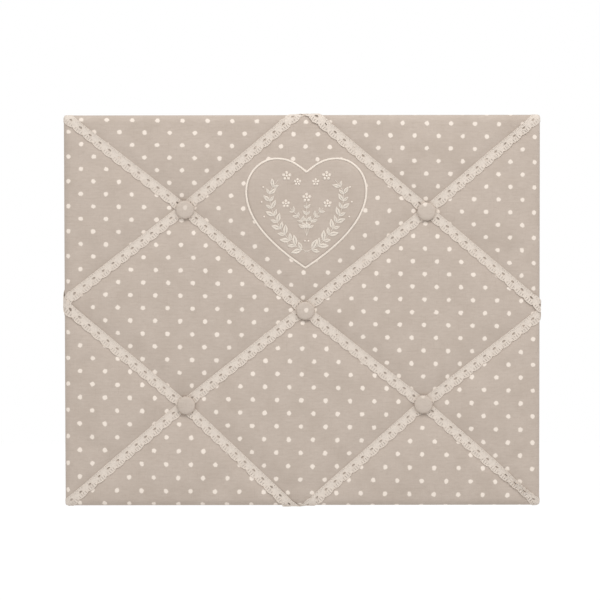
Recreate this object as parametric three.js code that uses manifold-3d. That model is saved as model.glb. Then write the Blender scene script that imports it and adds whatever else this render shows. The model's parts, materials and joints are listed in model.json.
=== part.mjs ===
// French memo board: a padded linen panel crossed by lace ribbons that are tied down with covered buttons.
// Millimetres. X runs to the right as seen from the front, Z is up and the front faces -Y.
// The origin is the centre of the back panel's rear face, which lies against the wall.

import * as THREE from 'three';
import { mergeVertices } from 'three/addons/utils/BufferGeometryUtils.js';
import Module from 'manifold-3d';

const wasm = await Module();
wasm.setup();

// Board and its layers
const BOARD_WIDTH = 550;
const BOARD_HEIGHT = 452;
const BACKING_THICKNESS = 6;
const PANEL_THICKNESS = 2.5;
const PANEL_MARGIN = 14;
const PANEL_STANDOFF = 2.8;
const COVER_THICKNESS = 0.5;
const COVER_RETURN = 38;
const LAYER_GAP = 0.2;

// Padding: its full height, the rounded edge, the channels under the lace and the tufts under the buttons
const PAD_HEIGHT = 9;
const RIM_HEIGHT = 1.5;
const EDGE_ROUND = 10;
const CORNER_ROUND = 3;
const CHANNEL_DEPTH = 1.5;
const CHANNEL_SPREAD = 9;
const TUFT_DEPTH = 5.5;
const TUFT_SPREAD = 18;
const LATTICE_STEPS = 6;
const DRIFT_FADE = 0.25;

// Lace
const LACE_THICKNESS = 0.6;
const LACE_STRAIGHT_SIDE = 6.2;
const LACE_SCALLOP_ROOT = 5.2;
const LACE_SCALLOP_DEPTH = 1.6;
const LACE_PITCH = 14.1;
const SCALLOP_POINTS = [[0, 0], [0.3, 1], [0.7, 1]];
const LACE_TAIL = 28;
const LACE_LIFT = 1.1;
const LACE_OVERHANG = 24;
const SHORT_LACE_OUTSET = 1.6;
const RISING_LACE_SHIFT = 1.8;

// The hand-tied buttons and the lace ends sit a little off the exact quarter points and edge middles.
const BUTTON_SPOTS = [
  { name: 'top_left', column: -1, row: 1, drift: [2.5, 3.9] },
  { name: 'top_right', column: 1, row: 1, drift: [6.0, 1.3] },
  { name: 'middle', column: 0, row: 0, drift: [3.5, 0.1] },
  { name: 'bottom_left', column: -1, row: -1, drift: [3.1, 3.7] },
  { name: 'bottom_right', column: 1, row: -1, drift: [2.6, 4.5] },
];
const TOP_ENDS = [-7, 13];
const BOTTOM_ENDS = [-16, 7];
const LEFT_ENDS = [12, 7];
const RIGHT_ENDS = [7, -4];

// Heart patch
const HEART_WIDTH = 140;
const HEART_HEIGHT = 126.6;
const HEART_NOTCH = 15.6;
const HEART_SHOULDER = 37.5;
const HEART_LOBE = 34.8;
const HEART_SHIFT = 5.4;
const HEART_THICKNESS = 0.5;
// How full the heart's curves are, as shares of the runs that they span
const HEART_FLANK_PULL = 0.38;
const HEART_TIP_REACH = 0.535;
const HEART_TIP_LIFT = 0.277;
const HEART_NOTCH_REACH = 0.35;
const HEART_NOTCH_FALL = 0.333;
const HEART_CREST_REACH = 0.6;
const QUARTER_ARC = 0.5523;

// Covered buttons, their ties and the tie anchors
const BUTTON_RADIUS = 10.5;
const BUTTON_RIM = 1.6;
const BUTTON_RISE = 3.6;
const BUTTON_TUCK = 7.5;
const BUTTON_BACK_THICKNESS = 1;
const BUTTON_SEAT_GAP = 1.25;
const BUTTON_SHELL_WALL = 0.5;
const BAIL_WIRE = 0.5;
const BAIL_HALF_SPAN = 2.2;
const BAIL_LEG = 1.6;
const TIE_RADIUS = 0.45;
const TIE_HALF_SPREAD = 1.6;
const TIE_CORNER = 0.9;
const TUFT_HOLE_RADIUS = 3.5;
const TIE_HOLE_RADIUS = 2.5;
const ANCHOR_RADIUS = 6;
const ANCHOR_THICKNESS = 1.2;
const RUNNING_GAP = 0.3;

// Strap hangers with a swinging ring
const HANGER_SPACING = 300;
const HANGER_BELOW_TOP = 43;
const STRAP_WIDTH = 9;
const STRAP_LENGTH = 24;
const STRAP_SHEET = 1;
const RING_WIRE = 1;
const RING_HALF_SPAN = 7.5;
const RING_SHOULDER = 2;
const SCREW_BELOW_LOOP = 15;
const SCREW_RADIUS = 1.5;
const SCREW_HEAD_RADIUS = 3.25;
const SCREW_HEAD_HEIGHT = 2;
const SCREW_BITE = 5;
const SCREW_CROWN_REACH = 0.6;
const SCREW_CROWN_RISE = 0.9;
const SCREW_EDGE_RISE = 0.3;

// How finely the round pieces are faceted
const BUTTON_SIDES = 16;
const DOME_STEPS = 3;
const ROLL_STEPS = 1;
const BAIL_BOW_STEPS = 6;
const BAIL_STEPS = 10;
const TIE_SIDES = 4;
const RING_SIDES = 6;
const RING_ARC_STEPS = 5;
const SCREW_SIDES = 14;

// Places that follow from the sizes above
const HALF_WIDTH = BOARD_WIDTH / 2;
const HALF_HEIGHT = BOARD_HEIGHT / 2;
const BACKING_REAR = -PANEL_THICKNESS - PANEL_STANDOFF;
const BACKING_FRONT = BACKING_REAR - BACKING_THICKNESS;
const COVER_INSET = COVER_THICKNESS + LAYER_GAP;
const COVER_REAR = BACKING_REAR + COVER_INSET;
const COVER_OVER_PAD = COVER_INSET + LAYER_GAP;
const TUFT_SURFACE = BACKING_FRONT - (PAD_HEIGHT + COVER_OVER_PAD - TUFT_DEPTH);
const BUTTON_SEAT = TUFT_SURFACE - (LAYER_GAP + LACE_LIFT + LACE_THICKNESS + BUTTON_SEAT_GAP);
const LOOP_INNER = RING_WIRE + RUNNING_GAP;
const LOOP_OUTER = LOOP_INNER + STRAP_SHEET;
const STRAP_FACE = 2 * STRAP_SHEET;
const RING_DROP = RING_SHOULDER + RING_HALF_SPAN;
const RING_TILT = Math.asin((STRAP_FACE + RUNNING_GAP + RING_WIRE - LOOP_OUTER) / RING_DROP);
const FAR = 60;
const WELD = 1e-4;

// Materials
function finish(color, roughness, metalness = 0) {
  return new THREE.MeshStandardMaterial({ color, roughness, metalness });
}
const linen = finish(0xc4b6aa, 0.95);
const lace = finish(0xdccfc3, 0.9);
const felt = finish(0xeae6dc, 1);
const fibreboard = finish(0xa98a66, 0.85);
const hardboard = finish(0x76573c, 0.7);
const tinplate = finish(0xb9bab8, 0.4, 1);
const thread = finish(0xd8cdbd, 0.85);
const horn = finish(0xe9e2d4, 0.5);
const zinc = finish(0xc3c5c8, 0.32, 1);

const board = new THREE.Group();
board.name = 'french_memo_board';

function place(name, geometry, material) {
  const mesh = new THREE.Mesh(weld(geometry), material);
  mesh.name = name;
  board.add(mesh);
}

// Solid helpers

// Joins shared corners, drops triangles without area and turns the faces outwards.
function weld(geometry) {
  const bare = new THREE.BufferGeometry();
  bare.setAttribute('position', geometry.getAttribute('position').clone());
  bare.setIndex(geometry.index);
  const joined = mergeVertices(bare, WELD);
  const corners = joined.getAttribute('position');
  const kept = [];
  let volume = 0;
  const [a, b, c] = [new THREE.Vector3(), new THREE.Vector3(), new THREE.Vector3()];
  for (let k = 0; k < joined.index.count; k += 3) {
    const [i, j, l] = [joined.index.getX(k), joined.index.getX(k + 1), joined.index.getX(k + 2)];
    if (i !== j && j !== l && l !== i) {
      kept.push(i, j, l);
      a.fromBufferAttribute(corners, i);
      b.fromBufferAttribute(corners, j);
      c.fromBufferAttribute(corners, l);
      volume += a.dot(b.cross(c));
    }
  }
  if (volume < 0) {
    kept.reverse();
  }
  joined.setIndex(kept);
  return joined;
}

function solidOf(geometry) {
  const joined = weld(geometry);
  return new wasm.Manifold(new wasm.Mesh({
    numProp: 3,
    vertProperties: new Float32Array(joined.getAttribute('position').array),
    triVerts: new Uint32Array(joined.index.array),
  }));
}

function geometryOf(solid) {
  const mesh = solid.getMesh();
  const geometry = new THREE.BufferGeometry();
  geometry.setAttribute('position', new THREE.BufferAttribute(mesh.vertProperties, 3));
  geometry.setIndex(new THREE.BufferAttribute(mesh.triVerts, 1));
  return weld(geometry);
}

// A flat outline in X and Z, given thickness from the front plane to the rear plane.
function planPrism(shape, front, rear, curveSegments = 6) {
  const settings = { depth: rear - front, bevelEnabled: false, curveSegments };
  return new THREE.ExtrudeGeometry(shape, settings).rotateX(Math.PI / 2).translate(0, rear, 0);
}

// A straight hole or pin along Y, with flats on the X and Z axes.
function crossPin(x, z, radius, front, rear, sides = 8) {
  const pin = new THREE.CylinderGeometry(radius, radius, rear - front, sides).rotateY(Math.PI / sides);
  return pin.translate(x, (front + rear) / 2, z);
}

function revolve(profile, sides) {
  return weld(new THREE.LatheGeometry(profile.map(([r, y]) => new THREE.Vector2(r, y)), sides));
}

// A round wire along a closed path that lies in the XY plane.
function loopWire(path, radius, divisions, sides) {
  const points = path.getPoints(divisions).filter(
    (point, k, all) => point.distanceTo(all.at(k - 1)) > WELD);
  const steps = points.length;
  const corners = [];
  const faces = [];
  for (let k = 0; k < steps; k += 1) {
    const along = points[(k + 1) % steps].clone().sub(points[(k + steps - 1) % steps]).normalize();
    for (let side = 0; side < sides; side += 1) {
      const turn = 2 * Math.PI * side / sides;
      const out = radius * Math.cos(turn);
      corners.push(points[k].x + along.y * out, points[k].y - along.x * out, radius * Math.sin(turn));
      const next = (side + 1) % sides;
      const [here, ahead] = [k * sides, ((k + 1) % steps) * sides];
      faces.push(here + side, ahead + side, here + next);
      faces.push(here + next, ahead + side, ahead + next);
    }
  }
  const geometry = new THREE.BufferGeometry();
  geometry.setAttribute('position', new THREE.Float32BufferAttribute(corners, 3));
  geometry.setIndex(faces);
  return weld(geometry);
}

// Places of the buttons and of the lace crossings
function buttonPlace(spot) {
  return [spot.column * HALF_WIDTH / 2 + spot.drift[0], spot.row * HALF_HEIGHT / 2 + spot.drift[1]];
}
const spotNamed = Object.fromEntries(BUTTON_SPOTS.map((spot) => [spot.name, buttonPlace(spot)]));

// Padded outline
// The lace runs along the diagonals of a lattice, in which s = x + z and t = x - z count whole
// numbers from ribbon to ribbon when x and z are measured in half widths and half heights.
function latticeOf(x, z) {
  return [x / HALF_WIDTH + z / HALF_HEIGHT, x / HALF_WIDTH - z / HALF_HEIGHT];
}

const RIBBON_LINES = [-1, 0, 1];
const LATTICE_UNIT = 1 / Math.hypot(1 / HALF_WIDTH, 1 / HALF_HEIGHT);

function bell(distance, spread) {
  return Math.exp(-((distance / spread) ** 2));
}

// Height of the linen's outer face over the backing board, away from the rounded edges.
function padHeight(x, z) {
  const offLine = (value) => Math.min(...RIBBON_LINES.map((line) => Math.abs(value - line))) * LATTICE_UNIT;
  const nearest = Math.min(...latticeOf(x, z).map(offLine));
  let height = PAD_HEIGHT + COVER_OVER_PAD - CHANNEL_DEPTH * bell(nearest, CHANNEL_SPREAD);
  for (const { column, row } of BUTTON_SPOTS) {
    const away = Math.hypot(x - column * HALF_WIDTH / 2, z - row * HALF_HEIGHT / 2);
    height -= (TUFT_DEPTH - CHANNEL_DEPTH) * bell(away, TUFT_SPREAD);
  }
  return height;
}

// The lattice is drawn along with the buttons and with the lace ends at the edges' middles.
const mean = ([first, second]) => (first + second) / 2;
const LATTICE_DRIFTS = [
  ...BUTTON_SPOTS.map(({ column, row, drift }) => ({
    node: [(column + row) / 2, (column - row) / 2],
    drift,
  })),
  { node: [1, -1], drift: [mean(TOP_ENDS), 0] },
  { node: [-1, 1], drift: [mean(BOTTOM_ENDS), 0] },
  { node: [-1, -1], drift: [0, mean(LEFT_ENDS)] },
  { node: [1, 1], drift: [0, mean(RIGHT_ENDS)] },
];

function driftAt(x, z) {
  const [s, t] = latticeOf(x, z);
  let [dx, dz] = [0, 0];
  for (const { node, drift } of LATTICE_DRIFTS) {
    const share = Math.max(0, 1 - Math.abs(s - node[0])) * Math.max(0, 1 - Math.abs(t - node[1]));
    dx += share * drift[0];
    dz += share * drift[1];
  }
  const fade = (place, half) => Math.min(1, (1 - Math.abs(place) / half) / DRIFT_FADE);
  return [dx * fade(x, HALF_WIDTH), dz * fade(z, HALF_HEIGHT)];
}

function gridLines(half) {
  const lines = [];
  for (let k = 1 - LATTICE_STEPS; k < LATTICE_STEPS; k += 1) {
    lines.push(half * k / LATTICE_STEPS);
  }
  for (const edge of [EDGE_ROUND, CORNER_ROUND, 0]) {
    lines.unshift(edge - half);
    lines.push(half - edge);
  }
  return lines;
}
const COLUMNS = gridLines(HALF_WIDTH);
const ROWS = gridLines(HALF_HEIGHT);

// Ribbons cross at the buttons and meet at the middle of each edge.
function isCrossing(x, z) {
  const atButton = BUTTON_SPOTS.some(({ column, row }) => (
    Math.hypot(x - column * HALF_WIDTH / 2, z - row * HALF_HEIGHT / 2) < WELD));
  const atSide = Math.abs(z) < WELD && HALF_WIDTH - Math.abs(x) < EDGE_ROUND + WELD;
  const atEnd = Math.abs(x) < WELD && HALF_HEIGHT - Math.abs(z) < EDGE_ROUND + WELD;
  return atButton || atSide || atEnd;
}

// One corner of the padded outline: where it lies, and the way it moves when the outline grows.
function padCorner(x, z) {
  const leanX = Math.max(0, 1 - (HALF_WIDTH - Math.abs(x)) / EDGE_ROUND);
  const leanZ = Math.max(0, 1 - (HALF_HEIGHT - Math.abs(z)) / EDGE_ROUND);
  const rise = Math.sqrt(1 - leanX ** 2) * Math.sqrt(1 - leanZ ** 2);
  const rim = RIM_HEIGHT + COVER_OVER_PAD;
  const height = rim + (padHeight(x, z) - rim) * rise;
  const pulled = leanX === 1 && leanZ === 1 ? CORNER_ROUND * (1 - Math.SQRT1_2) : 0;
  const [dx, dz] = driftAt(x, z);
  const at = new THREE.Vector3(x + dx, BACKING_FRONT - height, z + dz);
  at.x -= Math.sign(x) * pulled;
  at.z -= Math.sign(z) * pulled;
  const ahead = -Math.sqrt(1 - Math.max(leanX, leanZ) ** 2);
  const out = new THREE.Vector3(Math.sign(x) * leanX, ahead, Math.sign(z) * leanZ);
  return { at, out, crossing: isCrossing(x, z) };
}

// The closed padded outline, grown by outset, with its back at rear. Lift raises the crossings, and
// at the back it dies away before the back panel begins.
function padEnvelope(outset, rear, lift = 0) {
  const corners = [];
  const faces = [];
  const quad = (a, b, c, d) => faces.push(a, b, c, c, b, d);
  const spots = ROWS.map((z) => COLUMNS.map((x) => padCorner(x, z)));
  const [wide, tall] = [COLUMNS.length, ROWS.length];
  const index = (i, j) => j * wide + i;
  for (const row of spots) {
    for (const { at, out, crossing } of row) {
      const grown = out.clone().multiplyScalar(outset + (crossing ? lift : 0)).add(at);
      corners.push(grown.x, grown.y, grown.z);
    }
  }
  for (let j = 0; j + 1 < tall; j += 1) {
    for (let i = 0; i + 1 < wide; i += 1) {
      const rising = (COLUMNS[i] + COLUMNS[i + 1]) * (ROWS[j] + ROWS[j + 1]) > 0;
      const inner = Math.abs(COLUMNS[i] + COLUMNS[i + 1]) / HALF_WIDTH
        + Math.abs(ROWS[j] + ROWS[j + 1]) / HALF_HEIGHT;
      const onShortLace = Math.abs(inner - 2) < 1 / LATTICE_STEPS;
      if (rising !== onShortLace) {
        faces.push(index(i, j), index(i + 1, j), index(i + 1, j + 1));
        faces.push(index(i, j), index(i + 1, j + 1), index(i, j + 1));
      } else {
        faces.push(index(i, j), index(i + 1, j), index(i, j + 1));
        faces.push(index(i + 1, j), index(i + 1, j + 1), index(i, j + 1));
      }
    }
  }
  const border = [];
  for (let i = 0; i + 1 < wide; i += 1) {
    border.push([i, 0]);
  }
  for (let j = 0; j + 1 < tall; j += 1) {
    border.push([wide - 1, j]);
  }
  for (let i = wide - 1; i > 0; i -= 1) {
    border.push([i, tall - 1]);
  }
  for (let j = tall - 1; j > 0; j -= 1) {
    border.push([0, j]);
  }
  const firstRear = corners.length / 3;
  for (const [i, j] of border) {
    const { at, out, crossing } = spots[j][i];
    const grow = outset + (crossing ? lift : 0);
    corners.push(at.x + out.x * grow, rear + grow, at.z + out.z * grow);
  }
  const firstFlat = lift > 0 ? corners.length / 3 : firstRear;
  if (lift > 0) {
    const [shrinkX, shrinkZ] = [HALF_WIDTH, HALF_HEIGHT].map((half) => 1 - PANEL_MARGIN / half);
    for (const [i, j] of border) {
      const { at } = spots[j][i];
      corners.push(at.x * shrinkX, rear + outset, at.z * shrinkZ);
    }
  }
  const centre = corners.length / 3;
  corners.push(0, rear + outset, 0);
  for (let k = 0; k < border.length; k += 1) {
    const next = (k + 1) % border.length;
    quad(index(...border[k]), firstRear + k, index(...border[next]), firstRear + next);
    if (lift > 0) {
      quad(firstRear + k, firstFlat + k, firstRear + next, firstFlat + next);
    }
    faces.push(firstFlat + k, centre, firstFlat + next);
  }
  const geometry = new THREE.BufferGeometry();
  geometry.setAttribute('position', new THREE.Float32BufferAttribute(corners, 3));
  geometry.setIndex(faces);
  return geometry;
}

// The opening that a layer leaves at the back, with its corners cut square to the long ribbons.
function rearOpening(margin) {
  const [wide, tall] = [HALF_WIDTH - margin, HALF_HEIGHT - margin];
  const [cutX, cutZ] = [margin, margin * HALF_WIDTH / HALF_HEIGHT];
  const corners = [[1, 1], [-1, 1], [-1, -1], [1, -1]].flatMap(([column, row]) => {
    const pair = [[wide, tall - cutZ], [wide - cutX, tall]];
    const ordered = column * row > 0 ? pair : pair.reverse();
    return ordered.map(([x, z]) => new THREE.Vector2(column * x, row * z));
  });
  return planPrism(new THREE.Shape(corners), BACKING_FRONT + BACKING_THICKNESS / 2, FAR);
}

// A layer of even thickness on the padded outline, open at the back inside the given margin.
function padLayer(inner, outer, margin, lift = 0) {
  return solidOf(padEnvelope(outer, COVER_REAR, lift))
    .subtract(solidOf(padEnvelope(inner, COVER_REAR, lift)))
    .subtract(solidOf(rearOpening(margin)));
}

function pierce(solid, radius) {
  let pierced = solid;
  for (const [x, z] of Object.values(spotNamed)) {
    pierced = pierced.subtract(solidOf(crossPin(x, z, radius, -FAR, FAR)));
  }
  return pierced;
}

// Backing board and back panel
function plateOutline(halfWidth, halfHeight, round) {
  const shape = new THREE.Shape();
  shape.absarc(halfWidth - round, halfHeight - round, round, 0, Math.PI / 2);
  shape.absarc(round - halfWidth, halfHeight - round, round, Math.PI / 2, Math.PI);
  shape.absarc(round - halfWidth, round - halfHeight, round, Math.PI, 1.5 * Math.PI);
  shape.absarc(halfWidth - round, round - halfHeight, round, 1.5 * Math.PI, 2 * Math.PI);
  return shape;
}

const hangerPlaces = [
  ['left', -HANGER_SPACING / 2],
  ['right', HANGER_SPACING / 2],
];
const loopHeight = HALF_HEIGHT - HANGER_BELOW_TOP;
const screwHeight = loopHeight - SCREW_BELOW_LOOP;

function screwHoles(plate) {
  let drilled = plate;
  for (const [, x] of hangerPlaces) {
    drilled = drilled.subtract(solidOf(crossPin(x, screwHeight, SCREW_RADIUS + RUNNING_GAP, -FAR, FAR)));
  }
  return drilled;
}

const backingShape = plateOutline(HALF_WIDTH - COVER_INSET, HALF_HEIGHT - COVER_INSET, CORNER_ROUND);
const backing = solidOf(planPrism(backingShape, BACKING_FRONT, BACKING_REAR, 3));
place('backing_board', geometryOf(screwHoles(pierce(backing, TIE_HOLE_RADIUS))), fibreboard);

const panelWidth = BOARD_WIDTH - 2 * PANEL_MARGIN;
const panelHeight = BOARD_HEIGHT - 2 * PANEL_MARGIN;
const panel = new THREE.BoxGeometry(panelWidth, PANEL_THICKNESS, panelHeight, 1, 1, 3);
panel.translate(0, -PANEL_THICKNESS / 2, 0);
place('back_panel', geometryOf(screwHoles(solidOf(panel))), hardboard);

// Wadding and linen cover
const waddingRear = BACKING_FRONT - LAYER_GAP + COVER_INSET;
const wadding = solidOf(padEnvelope(-COVER_INSET, waddingRear));
place('wadding', geometryOf(pierce(wadding, TUFT_HOLE_RADIUS)), felt);

const cover = padLayer(-COVER_THICKNESS, 0, COVER_RETURN);
place('fabric_cover', geometryOf(pierce(cover, TUFT_HOLE_RADIUS)), linen);

// Heart patch
function heartOutline(centreX, top) {
  const half = HEART_WIDTH / 2;
  const shoulder = top - HEART_SHOULDER;
  const tip = top - HEART_HEIGHT;
  const roundX = QUARTER_ARC * (half - HEART_LOBE);
  const roundZ = QUARTER_ARC * HEART_SHOULDER;
  const flank = shoulder - tip;
  const bend = [HEART_TIP_REACH * half, tip + HEART_TIP_LIFT * flank];
  const crest = HEART_CREST_REACH * HEART_LOBE;
  const dip = [HEART_NOTCH_REACH * HEART_LOBE, top - HEART_NOTCH_FALL * HEART_NOTCH];
  const shape = new THREE.Shape();
  shape.moveTo(centreX, tip);
  for (const side of [1, -1]) {
    const x = (away) => centreX + side * away;
    const curves = [
      [x(bend[0]), bend[1], x(half), shoulder - HEART_FLANK_PULL * flank, x(half), shoulder],
      [x(half), shoulder + roundZ, x(HEART_LOBE + roundX), top, x(HEART_LOBE), top],
      [x(crest), top, x(dip[0]), dip[1], centreX, top - HEART_NOTCH],
    ];
    if (side > 0) {
      curves.forEach((curve) => shape.bezierCurveTo(...curve));
    } else {
      const starts = [[centreX, tip], ...curves.map((curve) => curve.slice(4))];
      for (let k = curves.length - 1; k >= 0; k -= 1) {
        const [ax, az, bx, bz] = curves[k];
        shape.bezierCurveTo(bx, bz, ax, az, ...starts[k]);
      }
    }
  }
  return shape;
}

const heartShape = heartOutline(HEART_SHIFT, HALF_HEIGHT / 2 + HEART_HEIGHT / 2);
const heartPrism = solidOf(planPrism(heartShape, -FAR, BACKING_FRONT, 8));
const heartLayer = padLayer(LAYER_GAP, LAYER_GAP + HEART_THICKNESS, COVER_RETURN);
place('heart_patch', geometryOf(heartLayer.intersect(heartPrism)), linen);

// Lace ribbons
// A ribbon's path runs from left to right, with its straight edge on the upper side.
function measuredPath(points) {
  const runs = [];
  let length = 0;
  for (let k = 0; k + 1 < points.length; k += 1) {
    const start = new THREE.Vector2(...points[k]);
    const along = new THREE.Vector2(...points[k + 1]).sub(start);
    runs.push({ start, from: length, length: along.length(), along: along.clone().normalize() });
    length += along.length();
  }
  const at = (distance, side) => {
    const run = runs.findLast(({ from }) => from <= distance) ?? runs[0];
    const up = new THREE.Vector2(-run.along.y, run.along.x);
    const point = run.start.clone().addScaledVector(run.along, distance - run.from);
    return point.addScaledVector(up, side);
  };
  return { at, length, bends: runs.map(({ from }) => from).slice(1) };
}

function laceOutline(points) {
  const path = measuredPath(points);
  const [start, end] = [-LACE_OVERHANG, path.length + LACE_OVERHANG];
  const repeats = Math.floor((end - start) / LACE_PITCH);
  const straight = [start, ...path.bends, end].map((distance) => path.at(distance, LACE_STRAIGHT_SIDE));
  const outline = straight.reverse();
  for (let k = 0; k < repeats; k += 1) {
    for (const [share, bulge] of SCALLOP_POINTS) {
      const distance = start + (k + share) * LACE_PITCH;
      outline.push(path.at(distance, -LACE_SCALLOP_ROOT - bulge * LACE_SCALLOP_DEPTH));
    }
  }
  outline.push(path.at(end, -LACE_SCALLOP_ROOT));
  return new THREE.Shape(outline);
}

const cornerAt = (column, row) => [column * HALF_WIDTH, row * HALF_HEIGHT];

// A button's place, moved square to a ribbon that runs past it.
function besideButton(name, column, row, shift) {
  const reach = Math.hypot(HALF_WIDTH, HALF_HEIGHT);
  const [x, z] = spotNamed[name];
  return [x + column * shift * HALF_HEIGHT / reach, z + row * shift * HALF_WIDTH / reach];
}

const laceRuns = [
  ['lace_long_rising', false, [
    cornerAt(-1, -1),
    besideButton('bottom_left', -1, 1, RISING_LACE_SHIFT),
    besideButton('middle', -1, 1, RISING_LACE_SHIFT),
    spotNamed.top_right,
    cornerAt(1, 1),
  ]],
  ['lace_top_left', false, [
    [-HALF_WIDTH, LEFT_ENDS[0]],
    besideButton('top_left', -1, 1, SHORT_LACE_OUTSET),
    [TOP_ENDS[0], HALF_HEIGHT],
  ]],
  ['lace_bottom_right', false, [
    [BOTTOM_ENDS[1], -HALF_HEIGHT],
    spotNamed.bottom_right,
    [HALF_WIDTH, RIGHT_ENDS[1]],
  ]],
  ['lace_long_falling', true, [
    cornerAt(-1, 1),
    spotNamed.top_left,
    spotNamed.middle,
    spotNamed.bottom_right,
    cornerAt(1, -1),
  ]],
  ['lace_top_right', true, [
    [TOP_ENDS[1], HALF_HEIGHT],
    besideButton('top_right', 1, 1, SHORT_LACE_OUTSET),
    [HALF_WIDTH, RIGHT_ENDS[0]],
  ]],
  ['lace_bottom_left', true, [
    [-HALF_WIDTH, LEFT_ENDS[1]],
    besideButton('bottom_left', -1, -1, SHORT_LACE_OUTSET),
    [BOTTOM_ENDS[0], -HALF_HEIGHT],
  ]],
];

// Falling ribbons ride over the rising ones wherever they meet.
const laceLayers = [0, LACE_LIFT].map((lift) => pierce(
  padLayer(LAYER_GAP, LAYER_GAP + LACE_THICKNESS, LACE_TAIL, lift), TUFT_HOLE_RADIUS));
for (const [name, over, points] of laceRuns) {
  const strip = solidOf(planPrism(laceOutline(points), -FAR, FAR));
  place(name, geometryOf(laceLayers[Number(over)].intersect(strip)), lace);
}

// Covered buttons

// Half section of a button's skin, a given distance inside the outer face, from the crown to the tuck.
function buttonSection(inset) {
  const section = [];
  for (let k = 0; k <= DOME_STEPS; k += 1) {
    const turn = 0.5 * Math.PI * k / DOME_STEPS;
    const height = BUTTON_RIM + Math.cos(turn) * (BUTTON_RISE - inset);
    section.push([Math.sin(turn) * (BUTTON_RADIUS - inset), -height]);
  }
  for (let k = 1; k <= ROLL_STEPS; k += 1) {
    const turn = 0.5 * Math.PI * k / ROLL_STEPS;
    const roll = BUTTON_RIM - inset;
    section.push([BUTTON_RADIUS - BUTTON_RIM + Math.cos(turn) * roll, Math.sin(turn) * roll - BUTTON_RIM]);
  }
  section.push([BUTTON_TUCK, -inset]);
  return section;
}

function buttonSkin(outer, inner) {
  return revolve([...buttonSection(outer), ...buttonSection(inner).reverse()], BUTTON_SIDES);
}

// The back plate carries a bent wire bail that the tie passes through.
function buttonBack() {
  const radius = BUTTON_TUCK - RUNNING_GAP;
  const plate = new THREE.CylinderGeometry(radius, radius, BUTTON_BACK_THICKNESS, BUTTON_SIDES);
  plate.translate(0, -BUTTON_BACK_THICKNESS / 2, 0);
  const route = new THREE.CurvePath();
  const foot = -BUTTON_BACK_THICKNESS / 2;
  const [left, right] = [-BAIL_HALF_SPAN, BAIL_HALF_SPAN];
  route.add(new THREE.LineCurve3(new THREE.Vector3(left, foot, 0), new THREE.Vector3(left, BAIL_LEG, 0)));
  const bow = [];
  for (let k = 0; k <= BAIL_BOW_STEPS; k += 1) {
    const turn = Math.PI * k / BAIL_BOW_STEPS;
    bow.push(new THREE.Vector3(-Math.cos(turn) * right, BAIL_LEG + Math.sin(turn) * right, 0));
  }
  route.add(new THREE.CatmullRomCurve3(bow));
  route.add(new THREE.LineCurve3(new THREE.Vector3(right, BAIL_LEG, 0), new THREE.Vector3(right, foot, 0)));
  const wire = new THREE.Shape().absarc(0, 0, BAIL_WIRE, 0, 2 * Math.PI);
  const settings = { steps: BAIL_STEPS, curveSegments: 3, bevelEnabled: false, extrudePath: route };
  const bail = new THREE.ExtrudeGeometry(wire, settings);
  return geometryOf(solidOf(plate).add(solidOf(bail)));
}

// The tie is one closed loop of waxed thread, from inside the bail to behind the anchor's bar.
function tieLoop() {
  const front = BUTTON_SEAT + BAIL_LEG + BAIL_HALF_SPAN - BAIL_WIRE - RUNNING_GAP - TIE_RADIUS;
  const rear = BACKING_REAR + ANCHOR_THICKNESS + LAYER_GAP + TIE_RADIUS;
  const half = (rear - front) / 2;
  const loop = loopWire(plateOutline(half, TIE_HALF_SPREAD, TIE_CORNER), TIE_RADIUS, 2, TIE_SIDES);
  loop.rotateX(Math.PI / 2).rotateZ(Math.PI / 2);
  return loop.translate(0, (front + rear) / 2, 0);
}

function tieAnchor() {
  const disc = new THREE.Shape().absarc(0, 0, ANCHOR_RADIUS, 0, 2 * Math.PI);
  for (const side of [-1, 1]) {
    const hole = new THREE.Path();
    hole.absarc(0, side * TIE_HALF_SPREAD, TIE_RADIUS + RUNNING_GAP, 0, 2 * Math.PI);
    disc.holes.push(hole);
  }
  return planPrism(disc, BACKING_REAR, BACKING_REAR + ANCHOR_THICKNESS, 3);
}

for (const [name, [x, z]] of Object.entries(spotNamed)) {
  const shellFace = COVER_THICKNESS + LAYER_GAP;
  const skin = buttonSkin(0, COVER_THICKNESS);
  const shell = buttonSkin(shellFace, shellFace + BUTTON_SHELL_WALL);
  place(`button_cover_${name}`, skin.translate(x, BUTTON_SEAT, z), linen);
  place(`button_shell_${name}`, shell.translate(x, BUTTON_SEAT, z), tinplate);
  place(`button_back_${name}`, buttonBack().translate(x, BUTTON_SEAT, z), tinplate);
  place(`button_tie_${name}`, tieLoop().translate(x, 0, z), thread);
  place(`tie_anchor_${name}`, tieAnchor().translate(x, 0, z), horn);
}

// Strap hangers

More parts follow.
